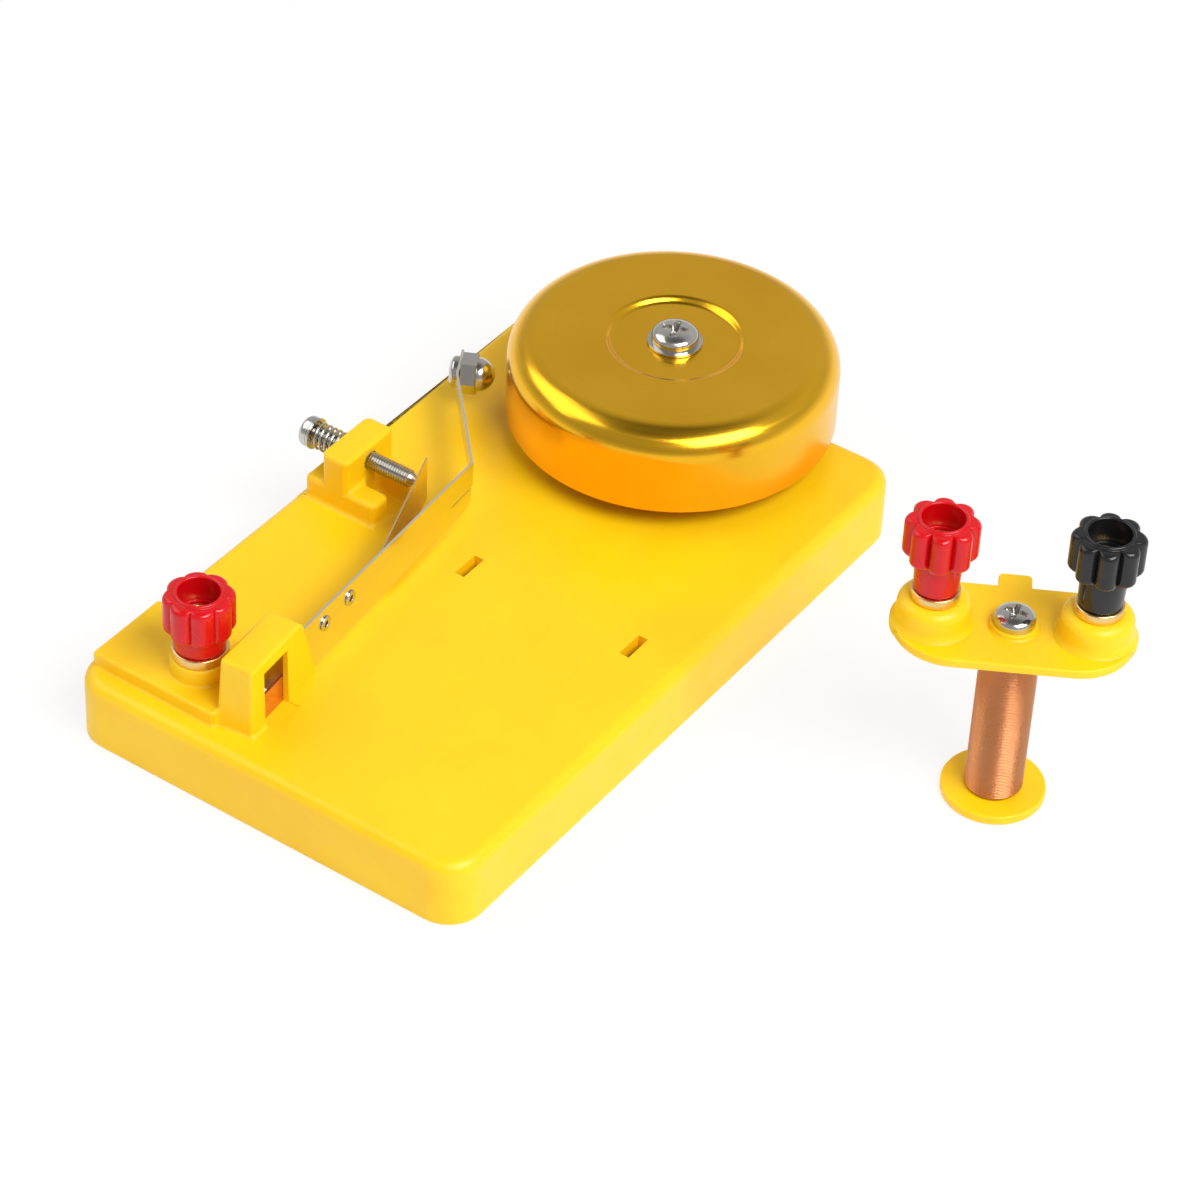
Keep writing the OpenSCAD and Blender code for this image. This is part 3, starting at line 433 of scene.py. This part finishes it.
def rounded_moulding(name, bm, radius_of, body, nodes):
    add_rounding(bm, radius_of)
    piece = finish_piece(name, bm, yellow_plastic, body, nodes, 44)
    bevel = piece.modifiers.new("roundings", "BEVEL")
    bevel.limit_method = "WEIGHT"
    bevel.width = 1 * MM
    bevel.segments = 4
    bevel.use_clamp_overlap = False
    rounded = bpy.data.meshes.new_from_object(piece.evaluated_get(bpy.context.evaluated_depsgraph_get()))
    rounded.name = name
    piece.modifiers.clear()
    piece.data = rounded
    crisp_edges = rounded.attributes.get("sharp_edge")
    if crisp_edges:
        rounded.attributes.remove(crisp_edges)
    settle_normals(rounded, SHADING_CREASE)


print("the deck is", DECK, "mm above the table")

# %% [markdown]
# How much an edge of the base is rounded depends on where it lies. Edges in the holes, the post's hollow, its
# window and its mouth stay sharp, because other pieces meet them there. The post, the bracket, the gong's
# pillar and the raised pad each have their own radius.

# %% Where the base is rounded
SLACK = 0.2
UNDERSIDE = 9.6
STUD_HOLE, SCREW_HOLE, BUSH_HOLE, BUSH_END, PILLAR = 3.5, 2.6, 2.7, 2.5, 6
# Boxes round the post's parts: along the strip, behind it, and up from the table.
POST = ((-SLACK, 18.6), (-SLACK, 7.2), (DECK - SLACK, 40))
HOLLOW = ((0.9, 17.2), (0.35, 6.0), (0, 24.2))
WINDOW = ((3.2, 10.6), (-SLACK, 1.5), (0, 22.6))
MOUTH = ((12, 18.6), (-SLACK, 1.6), (0, 40))


def within(spot, box):
    return all(low < value < high for value, (low, high) in zip(spot, box))


def base_rounding(edge):
    """The rounding of an edge of the base, in millimetres, from where the edge lies."""
    low, high = sorted((v.co.z for v in edge.verts))
    spot = (edge.verts[0].co + edge.verts[1].co) / 2
    from_stud = hypot(spot.x - TERMINAL.x, spot.y - TERMINAL.y)
    from_gong = hypot(spot.x - GONG.x, spot.y - GONG.y)
    from_bush = hypot(spot.y - CONTACT.y, spot.z - CONTACT.z)
    in_post = ((spot - POST_FOOT).dot(along_strip), (spot - POST_FOOT).dot(behind_strip), spot.z)
    upright = high - low > 1
    if low < UNDERSIDE or from_stud < STUD_HOLE or from_gong < SCREW_HOLE:
        return 0
    if abs(spot.y - CONTACT.y) < BUSH_END and from_bush < BUSH_HOLE:
        return 0
    if within(in_post, POST):
        if within(in_post, HOLLOW) or within(in_post, WINDOW) or within(in_post, MOUTH):
            return 0
        return 0.85 if upright else 0.6
    on_bracket = spot.x < -21 and -5 < spot.y < 9
    if on_bracket:
        return 1.15 if upright else 0.9
    if from_gong < PILLAR:
        return 0.6
    on_pad = spot.x < -10 and spot.y < -39
    if on_pad:
        return 0.6 if upright else 0.5
    return 0


rounded_moulding("base_moulding", merged_copy("base_shell"), base_rounding, "base", ["base_shell"])

# %% [markdown]
# The gong is a shallow bell of thin sheet, spun over a former: a flat top with a small sunk disc, one big
# round shoulder and a straight skirt. Ten points describe half of its section; the shoulder is a vertex
# bevel, and the spin does what the lathe does.

# %% Gong
GONG_R, GONG_TOP, GONG_RIM, SHEET = 27.5, 30.65, 15.8, 0.8
turn_gong = standing_at(GONG.x, GONG.y)
bm = bmesh.new()
turned(bm, [
    (2.05, 29.75, 0), (10.55, 29.75, 0.45), (11.45, GONG_TOP, 0.45), (GONG_R, GONG_TOP, 5),
    (GONG_R, GONG_RIM, 0.35), (GONG_R - SHEET, GONG_RIM, 0.35), (GONG_R - SHEET, GONG_TOP - SHEET, 4.2),
    (11.5, GONG_TOP - SHEET, 0.3), (10.6, 28.95, 0.3), (2.05, 28.95, 0)], turn_gong, steps=160)
finish_piece("gong_shell", bm, gong_gold, "base", ["gong"], crease=50, flats=True)

# %% [markdown]
# A pan-head screw has a flattened dome with a cross recess. The dome is one line from the middle to the rim,
# subdivided, lifted onto a curve and spun. The recess is pressed into it by lowering the vertices that lie
# inside the cross: the arms are steep-sided and their floors slope down to the middle, as a driver needs.

# %% Screw heads


def ramp(value):
    value = min(1, max(0, value))
    return value * value * (3 - 2 * value)


def cross_depth(x, y, arm, wide, deep):
    soft = 0.12
    depth = 0
    for a, b in ((abs(x), abs(y)), (abs(y), abs(x))):
        inside = ramp((wide / 2 + soft / 2 - b) / soft) * ramp((arm + soft / 2 - a) / soft)
        depth = max(depth, inside * deep * (1 - 0.7 * a / arm))
    middle_hole = ramp((wide * 0.8 + soft / 2 - hypot(x, y)) / soft)
    return max(depth, middle_hole * deep * 0.8)


def pan_head(bm, at, radius, height, arm, wide, deep, turn=0.0):
    """Screw head on the plane z = 0. Its recess has arms of this length, width and depth, and is turned."""
    part = bmesh.new()
    top = part.edges.new((part.verts.new((0, 0, 0)), part.verts.new((radius, 0, 0))))
    bmesh.ops.subdivide_edges(part, edges=[top], cuts=46)
    chain = sorted(part.verts, key=lambda v: v.co.x)
    for vert in chain:
        share = 1 - min(1, max(0, 1 - vert.co.x / radius)) ** 1.5
        vert.co = (radius * share, 0, height * (0.32 + 0.68 * max(0, 1 - share ** 2.3) ** (1 / 2.3)))
    foot = part.verts.new((radius, 0, 0))
    part.edges.new((chain[-1], foot))
    part.edges.new((foot, part.verts.new((0, 0, 0))))
    sweep_round(part, 96)
    for vert in part.verts:
        if vert.co.z > 0.32 * height + 0.01 and hypot(vert.co.x, vert.co.y) < arm * 1.3:
            x = vert.co.x * cos(turn) + vert.co.y * sin(turn)
            y = vert.co.y * cos(turn) - vert.co.x * sin(turn)
            vert.co.z -= cross_depth(x, y, arm, wide, deep)
    add_to(bm, part, at)


bm = bmesh.new()
head_z = corners("gong_washer")[1].z
pan_head(bm, standing_at(GONG.x, GONG.y, head_z), radius=3.95, height=2.4, arm=2.1, wide=0.95, deep=1.5,
         turn=radians(20))
low_z = corners("gong_screw")[0].z
turned(bm, [(0, low_z, 0), (2, low_z, 0.3), (2, head_z + 0.05, 0), (0, head_z + 0.05, 0)],
       standing_at(GONG.x, GONG.y))
finish_piece("gong_screw_piece", bm, nickel, "base", ["gong_screw"])

bm = bmesh.new()
low, high = corners("gong_washer")
turned(bm, [(2.05, low.z, 0), (4.6, low.z, 0.12), (4.6, high.z, 0.12), (2.05, high.z, 0.1)],
       standing_at(GONG.x, GONG.y))
finish_piece("gong_washer_piece", bm, nickel, "base", ["gong_washer"])

# %% [markdown]
# A terminal knob is moulded with eight rounded lobes so that fingers can turn it. Seen from above, each lobe
# is part of a circle, so the outline follows one arc formula per lobe. The knob is spun first, as if it were
# plain, and then the vertices of its head are drawn in between the lobes. The neck below stays round.

# %% Knobs
LOBES = 8
BORE_R, RECESS_R, RECESS_DEEP = 2.9, 3.3, 4.6
RIM_HIGH = 0.45


def lobe_radius(angle, outside):
    """Distance from the axis to the edge of the nearest lobe, a circle that stands off the axis."""
    step = 2 * pi / LOBES
    off = (angle + step / 2) % step - step / 2
    round_r = outside * 0.28
    centre = outside - round_r
    across = centre * sin(off)
    return centre * cos(off) + (max(round_r ** 2 - across ** 2, 0.02)) ** 0.5


def knob(name, node, material, body, neck_r, neck_h, lobe_r, depth, start=0.0):
    """depth is how far the hollows between the lobes are drawn in: 1 is all the way to the lobes' circles."""
    low, high = corners(node)
    axis = (low + high) / 2
    tall = high.z - low.z
    bm = bmesh.new()
    turned(bm, [
        (BORE_R, 0, 0), (neck_r - 0.3, 0, 0.4), (neck_r, neck_h, 0.3), (lobe_r, neck_h, 0.9),
        (lobe_r, tall - RIM_HIGH, 1.0), (RECESS_R + 0.62, tall - RIM_HIGH, 0.2),
        (RECESS_R + 0.58, tall, 0.28), (RECESS_R, tall, 0.3), (RECESS_R, tall - RECESS_DEEP, 0.1),
        (BORE_R, tall - RECESS_DEEP, 0)],
        Matrix.Identity(4), steps=192)
    still = RECESS_R + 0.63
    for vert in bm.verts:
        radius = hypot(vert.co.x, vert.co.y)
        if vert.co.z > neck_h - 0.01 and radius > still:
            angle = atan2(vert.co.y, vert.co.x)
            edge = lobe_r - depth * (lobe_r - lobe_radius(angle - start, lobe_r))
            drawn = still + (radius - still) * (edge - still) / (lobe_r - still)
            vert.co.x *= drawn / radius
            vert.co.y *= drawn / radius
    bmesh.ops.transform(bm, matrix=standing_at(axis.x, axis.y, low.z), verts=bm.verts)
    finish_piece(name, bm, material, body, [node], crease=45, flats=True)


COIL_TURN = radians(29.5)
knob("base_knob_piece", "base_knob", red_plastic, "base_knob_body",
     neck_r=4.35, neck_h=3.4, lobe_r=5.65, depth=0.5)
for colour, plastic in (("red", red_plastic), ("black", black_plastic)):
    knob(colour + "_knob_piece", colour + "_knob", plastic, colour + "_knob_body",
         neck_r=3.75, neck_h=6.2, lobe_r=5.75, depth=1, start=COIL_TURN)

# %% [markdown]
# Under each knob a turned brass collar lies on the boss, and through everything runs a brass stud whose top
# end is a socket for a plug. The knob's recess lets the plug reach it. All are lathe parts with small
# chamfers, so each is one short section.

# %% Collars and studs
STUD_R, SOCKET_R, SOCKET_DEEP = 2.8, 2.0, 10

for name, radius, body in (("base_collar", 4.5, "base_collar_body"), ("red_collar", 3.85, "red_collar_body"),
                           ("black_collar", 3.85, "black_collar_body")):
    low, high = corners(name)
    bm = bmesh.new()
    turned(bm, [(2.86, low.z, 0), (radius, low.z, 0.18), (radius, high.z, 0.25), (2.86, high.z, 0.1)],
           standing_at((low.x + high.x) / 2, (low.y + high.y) / 2))
    finish_piece(name + "_piece", bm, turned_brass, body, [name])


def stud(bm, x, y, low, top):
    turned(bm, [(0, low, 0), (STUD_R, low, 0.3), (STUD_R, top, 0.3), (SOCKET_R, top, 0.15),
                (SOCKET_R, top - SOCKET_DEEP, 0.2), (0, top - SOCKET_DEEP, 0)], standing_at(x, y))


low, high = corners("base_stud")
bm = bmesh.new()
stud(bm, TERMINAL.x, TERMINAL.y, low.z, high.z)
finish_piece("base_stud_piece", bm, turned_brass, "base", ["base_stud"])
low, high = corners("coil_studs")
bm = bmesh.new()
for node in ("red_collar", "black_collar"):
    spot = middle(node)
    stud(bm, spot.x, spot.y, low.z, high.z)
finish_piece("coil_studs_piece", bm, turned_brass, "coil_unit", ["coil_studs"])

# %% [markdown]
# The hammer is a cap nut on a screw through the end of the strip. The nut is a hexagon with its corners
# turned off and a polished dome. The hexagon is an extruded six-sided circle with bevelled edges, and the
# dome is half of a sphere, cut with a plane. The blow's direction sets the frame they are built in.

# %% Hammer
STRIKE = radians(28)
HAMMER_AT = Vector((-30.174, 30.171, 18.7))
LIE_DOWN = Matrix.Rotation(pi / 2, 4, "Y")
hammer_frame = Matrix.Translation(HAMMER_AT) @ Matrix.Rotation(STRIKE, 4, "Z") @ LIE_DOWN
STRIP_HALF, NUT_HIGH = 0.22, 2.8


def lift_corners(part, geometry, height):
    """Lifts the corners among the geometry that an operator returned."""
    corners_in = [g for g in geometry if isinstance(g, bmesh.types.BMVert)]
    bmesh.ops.translate(part, vec=(0, 0, height), verts=corners_in)


def raised(part, height, chamfer, segments=3):
    """Thickens the part's flat outline to the height given and rounds its edges."""
    grown = bmesh.ops.extrude_face_region(part, geom=list(part.faces), use_keep_orig=True)["geom"]
    lift_corners(part, grown, height)
    bmesh.ops.recalc_face_normals(part, faces=part.faces)
    level = [e for e in part.edges if abs(e.verts[0].co.z - e.verts[1].co.z) < 0.01]
    edges = [e for e in level if e.calc_face_angle(0) > radians(LEAST_CORNER)]
    bmesh.ops.bevel(part, geom=edges, offset=chamfer, offset_type="OFFSET", segments=segments, profile=0.5,
                    affect="EDGES", material=-1, clamp_overlap=True)


def hexagon(bm, at, flats, height, chamfer):
    part = bmesh.new()
    bmesh.ops.create_circle(part, cap_ends=True, segments=6, radius=flats / 2 / cos(pi / 6))
    raised(part, height, chamfer)
    add_to(bm, part, at)


def dome(bm, at, radius):
    part = bmesh.new()
    bmesh.ops.create_uvsphere(part, u_segments=64, v_segments=32, radius=radius)
    bmesh.ops.bisect_plane(part, geom=list(part.verts) + list(part.edges) + list(part.faces),
                           plane_co=(0, 0, -0.05), plane_no=(0, 0, -1), clear_outer=True)
    bmesh.ops.holes_fill(part, edges=[e for e in part.edges if e.is_boundary], sides=0)
    add_to(bm, part, at)


bm = bmesh.new()
hexagon(bm, hammer_frame @ standing_at(0, 0, STRIP_HALF), flats=6, height=NUT_HIGH, chamfer=0.22)
dome(bm, hammer_frame @ standing_at(0, 0, STRIP_HALF + NUT_HIGH), radius=2.85)
finish_piece("hammer_cap_nut_piece", bm, nickel, "armature", ["hammer_cap_nut"],
             crease=30, flats=True)

bm = bmesh.new()
TURN_OVER = Matrix.Rotation(pi, 4, "X")
pan_head(bm, hammer_frame @ standing_at(0, 0, -STRIP_HALF) @ TURN_OVER,
         radius=2.75, height=1.6, arm=1.5, wide=0.7, deep=0.9)
turned(bm, [(0, -0.3, 0), (1.5, -0.3, 0), (1.5, 3.0, 0.2), (0, 3.0, 0)], hammer_frame)
finish_piece("hammer_screw_piece", bm, nickel, "armature", ["hammer_screw"])

# %% [markdown]
# Two tubular rivets hold the contact leaf to the strip. Each is an eyelet: a rolled rim round a small hole.

# %% Rivets
STRIP_FOOT = POST_FOOT + 18.4 * along_strip + 0.71 * behind_strip
bm = bmesh.new()
for distance in (2.9, 10.1):
    spot = STRIP_FOOT + distance * along_strip + Vector((0, 0, 19.4))
    frontwards = Matrix.Translation(spot) @ Matrix.Rotation(STRIP_TURN, 4, "Z") @ LIE_DOWN
    turned(bm, [(0.55, -0.8, 0.05), (1.3, -0.8, 0.1), (1.3, -0.5, 0.1), (0.8, -0.5, 0), (0.8, 0.22, 0),
                (1.35, 0.22, 0.1), (1.3, 0.55, 0.15), (0.55, 0.55, 0.15)], frontwards, steps=40)
finish_piece("leaf_rivets_piece", bm, nickel, "armature", ["leaf_rivets"])

# %% [markdown]
# The contact screw has a real thread. A thread is one small ridge that climbs as it goes round, so the spin
# operator gets a lift per step as well as a turn. Its outline is open, root to crest to root, and each turn's
# last root falls on the next turn's first: merging doubles joins them into one skin.

# %% Contact screw
WASHER_X = corners("contact_washer")[0].x - 0.02
TIP_X = corners("contact_screw")[1].x
TIP_LONG = 1.4
THREAD_ROOT, THREAD_CREST, THREAD_PITCH = 1.08, 1.5, 0.5


def towards_x(x):
    return Matrix.Translation((x, CONTACT.y, CONTACT.z)) @ LIE_DOWN


def wound_up(part, pitch, turns, steps):
    """Spins the part's outline once round Z with a lift, then stacks copies of that turn and joins them."""
    bmesh.ops.spin(part, geom=list(part.verts) + list(part.edges), cent=(0, 0, 0), axis=(0, 0, 1),
                   dvec=(0, 0, pitch / steps), angle=2 * pi, steps=steps, use_merge=False)
    turn = list(part.verts) + list(part.edges) + list(part.faces)
    for number in range(1, turns):
        lift_corners(part, bmesh.ops.duplicate(part, geom=turn)["geom"], number * pitch)
    bmesh.ops.remove_doubles(part, verts=part.verts, dist=0.001)
    bmesh.ops.holes_fill(part, edges=[e for e in part.edges if e.is_boundary], sides=0)


def helix_thread(bm, at, root, crest, pitch, turns):
    part = bmesh.new()
    ridge = ((root, 0, 0), (crest, 0, pitch * 0.45), (crest, 0, pitch * 0.55), (root, 0, pitch))
    outline = [part.verts.new(point) for point in ridge]
    for pair in zip(outline, outline[1:]):
        part.edges.new(pair)
    wound_up(part, pitch, turns, 32)
    add_to(bm, part, at)


bm = bmesh.new()
shank = TIP_X - TIP_LONG - WASHER_X
helix_thread(bm, towards_x(WASHER_X - 0.1), THREAD_ROOT, THREAD_CREST, THREAD_PITCH,
             turns=int(shank / THREAD_PITCH))
pan_head(bm, towards_x(WASHER_X) @ TURN_OVER, radius=2.65, height=2.1, arm=1.5, wide=0.7, deep=1.1,
         turn=radians(30))
turned(bm, [(0, 0, 0), (1.1, 0, 0), (1.1, shank, 0), (1.3, shank, 0), (0.3, TIP_X - WASHER_X, 0.1),
            (0, TIP_X - WASHER_X, 0)], towards_x(WASHER_X))
finish_piece("contact_screw_piece", bm, nickel, "screw", ["contact_screw"])

low, high = corners("contact_washer")
bm = bmesh.new()
thick = high.x - low.x
turned(bm, [(1.55, 0, 0), (2.7, 0, 0.12), (2.7, thick, 0.12), (1.55, thick, 0)], towards_x(low.x))
finish_piece("contact_washer_piece", bm, nickel, "screw_washer", ["contact_washer"])

# %% [markdown]
# Springs and windings are wound wire. One circle, turned a little so that it faces along the wire, is spun
# with a lift per step. The spring has five open curls; the coil has close layers of fine wire, one thin turn
# beside another from flange to top plate, wound over the inner layers.

# %% Spring and winding


def wound(bm, at, wire, radius, pitch, turns, sides):
    part = bmesh.new()
    climb = atan2(pitch, 2 * pi * radius)
    bmesh.ops.create_circle(part, cap_ends=False, segments=sides, radius=wire / 2)
    facing = Matrix.Translation((radius, 0, 0)) @ Matrix.Rotation(pi / 2 - climb, 4, "X")
    bmesh.ops.transform(part, matrix=facing, verts=part.verts)
    wound_up(part, pitch, turns, 48)
    add_to(bm, part, at)


low, high = corners("contact_spring")
bm = bmesh.new()
spring_wire, spring_curls = 0.45, 5
spring_pitch = (high.x - low.x - spring_wire - 0.05) / spring_curls
wound(bm, towards_x(low.x + spring_wire / 2 + 0.02), spring_wire, radius=2.1, pitch=spring_pitch,
      turns=spring_curls, sides=12)
finish_piece("contact_spring_piece", bm, nickel, "base", ["contact_spring"])

COIL = middle("iron_core")
low, high = corners("coil_winding")
end_gap = 0.25
coil_frame = standing_at(COIL.x, COIL.y, low.z + end_gap) @ Matrix.Rotation(COIL_TURN, 4, "Z")
bm = bmesh.new()
winding_high = high.z - low.z - 2 * end_gap
fine_wire, fine_pitch = 0.32, 0.31
fine_turns = int(winding_high / fine_pitch)
wound(bm, coil_frame, fine_wire, radius=4.43, pitch=winding_high / fine_turns, turns=fine_turns, sides=8)
finish_piece("coil_winding_piece", bm, enamelled_wire, "coil_unit", ["coil_winding"],
             crease=60)
print("turns of fine wire:", fine_turns)

# %% [markdown]
# The coil unit's frame is a second yellow moulding: a top plate with two bosses, a tube for the winding, a
# round flange below and two tabs that plug into the base. Its shapes are simple ones that run into each
# other, so each is made by itself: the plate and the flange are outlines with rounded corners, thickened and
# bevelled, and the bosses, which flare out softly where they meet the plate, are turned.

# %% Bobbin
PLATE_LOW, PLATE = 32.0, 1.6
BOSS_TOP, SEAT_TOP = 38.2, 34.4
coil_at = standing_at(COIL.x, COIL.y) @ Matrix.Rotation(COIL_TURN, 4, "Z")
BOSS_OUT = (middle("black_collar") - middle("red_collar")).length / 2


def plate(bm, at, points, height, rounding):
    part = bmesh.new()
    outline_face(part, [(x, y, 0, r) for x, y, r in points])
    raised(part, height, rounding, 4)
    add_to(bm, part, at)


bm = bmesh.new()
tab = [(2.6, 12.3, 0.8), (-2.6, 12.3, 0.8)]
plate(bm, coil_at @ standing_at(0, 0, PLATE_LOW), [
    (-18.5, -9.3, 9.28), (18.5, -9.3, 9.28), (18.5, 9.3, 9.28), (2.6, 9.3, 0.35), *tab, (-2.6, 9.3, 0.35),
    (-18.5, 9.3, 9.28)], PLATE, 0.35)
turned(bm, [(2.25, 0, 0), (8.25, 0, 0.3), (8.25, PLATE, 0.3), (2.25, PLATE, 0)], coil_at, steps=96)
plate(bm, coil_at, [(-2.6, 4, 0), (2.6, 4, 0), *tab], PLATE, 0.3)
turned(bm, [(2.25, 0.3, 0), (3, 0.3, 0), (3, PLATE_LOW + 0.5, 0), (2.25, PLATE_LOW + 0.5, 0)], coil_at)
plate_top = PLATE_LOW + PLATE
for side in (-1, 1):
    turned(bm, [(2.84, PLATE_LOW + 0.2, 0), (6.5, PLATE_LOW + 0.2, 0), (6.5, plate_top + 0.02, 0),
                (5.9, plate_top + 0.5, 0.9), (5.5, BOSS_TOP, 1.5), (2.84, BOSS_TOP, 0.2)],
           coil_at @ standing_at(side * BOSS_OUT, 0))
turned(bm, [(1.4, plate_top - 0.3, 0), (4.0, plate_top - 0.3, 0), (4.0, plate_top + 0.02, 0),
            (3.7, plate_top + 0.3, 0.2), (3.7, SEAT_TOP, 0.2), (1.4, SEAT_TOP, 0)], coil_at)
finish_piece("coil_bobbin", bm, yellow_plastic, "coil_unit", ["bobbin"],
             crease=40, flats=True)

bm = bmesh.new()
low, high = corners("core_screw")
pan_head(bm, standing_at(COIL.x, COIL.y, high.z - 2.2), radius=3.25, height=2.2, arm=1.8, wide=0.8, deep=1.3,
         turn=radians(10))
turned(bm, [(0, low.z, 0), (1.25, low.z, 0.2), (1.25, high.z - 2.1, 0), (0, high.z - 2.1, 0)],
       standing_at(COIL.x, COIL.y))
finish_piece("core_screw_piece", bm, nickel, "coil_unit", ["core_screw"])

# %% [markdown]
# Behind the post's window stands the copper link that brings the current to the strip. The photo shows it as
# a plate that fills the lower part of the window. The solid has the right foot and upright, so the piece is
# a merged copy of it with that plate added: an outline thickened like the bobbin's plates, set on edge.

# %% Terminal link
link_low = corners("terminal_link")[0].z
post_frame = Matrix((
    (along_strip.x, behind_strip.x, 0, POST_FOOT.x), (along_strip.y, behind_strip.y, 0, POST_FOOT.y),
    (0, 0, 1, link_low), (0, 0, 0, 1)))
bm = merged_copy("terminal_link")
on_edge = post_frame @ Matrix.Translation((2.35, 1.6, 0.02)) @ Matrix.Rotation(pi / 2, 4, "X")
plate(bm, on_edge, [(0, 0, 0), (8.7, 0, 0), (8.7, 4.9, 0.3), (0, 4.9, 0.3)], 0.46, 0.08)
finish_piece("terminal_link_piece", bm, copper_sheet, "base", ["terminal_link"],
             crease=40, flats=True)

# %% [markdown]
# The remaining solids already have their true form: flat strip, sheet, nuts, a plain core. They keep their
# exact shape and take their finish here.

# %% Solids carried over
CARRIED = (
    ("armature_strip", rolled_strip), ("contact_leaf", leaf_bronze), ("gong_nut", nickel),
    ("base_stud_nut", turned_brass), ("contact_bush", turned_brass), ("coil_nuts", turned_brass),
    ("solder_tags", tinned), ("winding_leads", enamelled_wire), ("inner_winding", enamelled_wire),
    ("iron_core", soft_iron))
for node, material in CARRIED:
    carry_over(node, material)
print("carried over:", len(CARRIED), "solids")

# %% [markdown]
# The photo has a plain white background. The floor is a large pale sheet. To the camera, and to metal and
# glass, most of its brightness is its own, so that it stays white, while the rest is lit and keeps a soft
# shadow under the object. For all other rays it is ordinary pale card that throws light back up.

# %% Floor
FLOOR_HALF, FLOOR_DROP, OWN_LIGHT, CARD_GREY = 4.0, 0.0002, 0.80, 0.92
floor_mesh = bpy.data.meshes.new("floor")
bm = bmesh.new()
bmesh.ops.create_grid(bm, x_segments=2, y_segments=2, size=FLOOR_HALF)
bm.to_mesh(floor_mesh)
bm.free()
floor = bpy.data.objects.new("floor", floor_mesh)
floor.location.z = -FLOOR_DROP
bpy.context.scene.collection.objects.link(floor)

floor_card = bpy.data.materials.new("floor_card")
floor_card.use_nodes = True
tree = floor_card.node_tree
tree.nodes.clear()
paths = add_node(tree, "ShaderNodeLightPath")
seen = add_node(tree, "ShaderNodeMath", operation="MAXIMUM")
tree.links.new(paths.outputs["Is Camera Ray"], seen.inputs[0])
tree.links.new(paths.outputs["Is Glossy Ray"], seen.inputs[1])
seen_all = add_node(tree, "ShaderNodeMath", operation="MAXIMUM")
tree.links.new(seen.outputs[0], seen_all.inputs[0])
tree.links.new(paths.outputs["Is Transmission Ray"], seen_all.inputs[1])
share = add_node(tree, "ShaderNodeMath", operation="MULTIPLY")
tree.links.new(seen_all.outputs[0], share.inputs[0])
share.inputs[1].default_value = OWN_LIGHT
card = add_node(tree, "ShaderNodeBsdfDiffuse")
card.inputs["Color"].default_value = (CARD_GREY, CARD_GREY, CARD_GREY, 1)
glow = add_node(tree, "ShaderNodeEmission")
glow.inputs["Color"].default_value = (1, 1, 1, 1)
glow.inputs["Strength"].default_value = 1.0
blend = add_node(tree, "ShaderNodeMixShader")
out = add_node(tree, "ShaderNodeOutputMaterial")
tree.links.new(share.outputs[0], blend.inputs[0])
tree.links.new(card.outputs[0], blend.inputs[1])
tree.links.new(glow.outputs[0], blend.inputs[2])
tree.links.new(blend.outputs[0], out.inputs["Surface"])
floor_mesh.materials.append(floor_card)
print("floor ready")

# %% [markdown]
# The light is a plain studio: a pale room all round, one large soft key from the right and above, and a weak
# fill from the left. Polished metal shows the room, so the room needs a shape of its own. It is bright near
# the horizon, middling halfway up and dark overhead, which shades the gong's top and shoulder; it is also a
# little darker in front, so that the front of the base falls into shade beside its right side.

# %% Light
world = bpy.data.worlds.new("studio")
bpy.context.scene.world = world
world.use_nodes = True
tree = world.node_tree
background = tree.nodes["Background"]
direction = add_node(tree, "ShaderNodeTexCoord").outputs["Generated"]
split = add_node(tree, "ShaderNodeSeparateXYZ")
tree.links.new(direction, split.inputs[0])
ramp_node = add_node(tree, "ShaderNodeValToRGB")
stops = ramp_node.color_ramp
HORIZON, ZENITH = 0.85, 0.12
for stop, position, grey in ((stops.elements[0], 0, HORIZON), (stops.elements[1], 1, ZENITH)):
    stop.position = position
    stop.color = (grey, grey, grey, 1)
for position, grey in ((0.3, 0.50), (0.65, 0.56), (0.85, 0.44), (0.95, 0.18)):
    stops.elements.new(position).color = (grey, grey, grey, 1)
tree.links.new(split.outputs["Z"], ramp_node.inputs["Fac"])
tree.links.new(ramp_node.outputs["Color"], background.inputs["Color"])
tree.links.new(spread(tree, split.outputs["Y"], 0.72, 1.08, -1, 1), background.inputs["Strength"])


LIT_SPOT = Vector((0.02, 0.0, 0.01))


def soft_light(name, spot, size, power):
    data = bpy.data.lights.new(name, "AREA")
    data.shape = "RECTANGLE"
    data.size, data.size_y = size
    data.energy = power
    light = bpy.data.objects.new(name, data)
    light.location = spot
    towards = LIT_SPOT - Vector(spot)
    light.rotation_euler = towards.to_track_quat("-Z", "Y").to_euler()
    bpy.context.scene.collection.objects.link(light)


soft_light("key", (0.62, -0.14, 0.78), (0.7, 0.45), 9.4)
soft_light("fill", (-0.62, -0.22, 0.72), (0.8, 0.6), 2.6)

scene = bpy.context.scene
scene.view_settings.view_transform = "Standard"
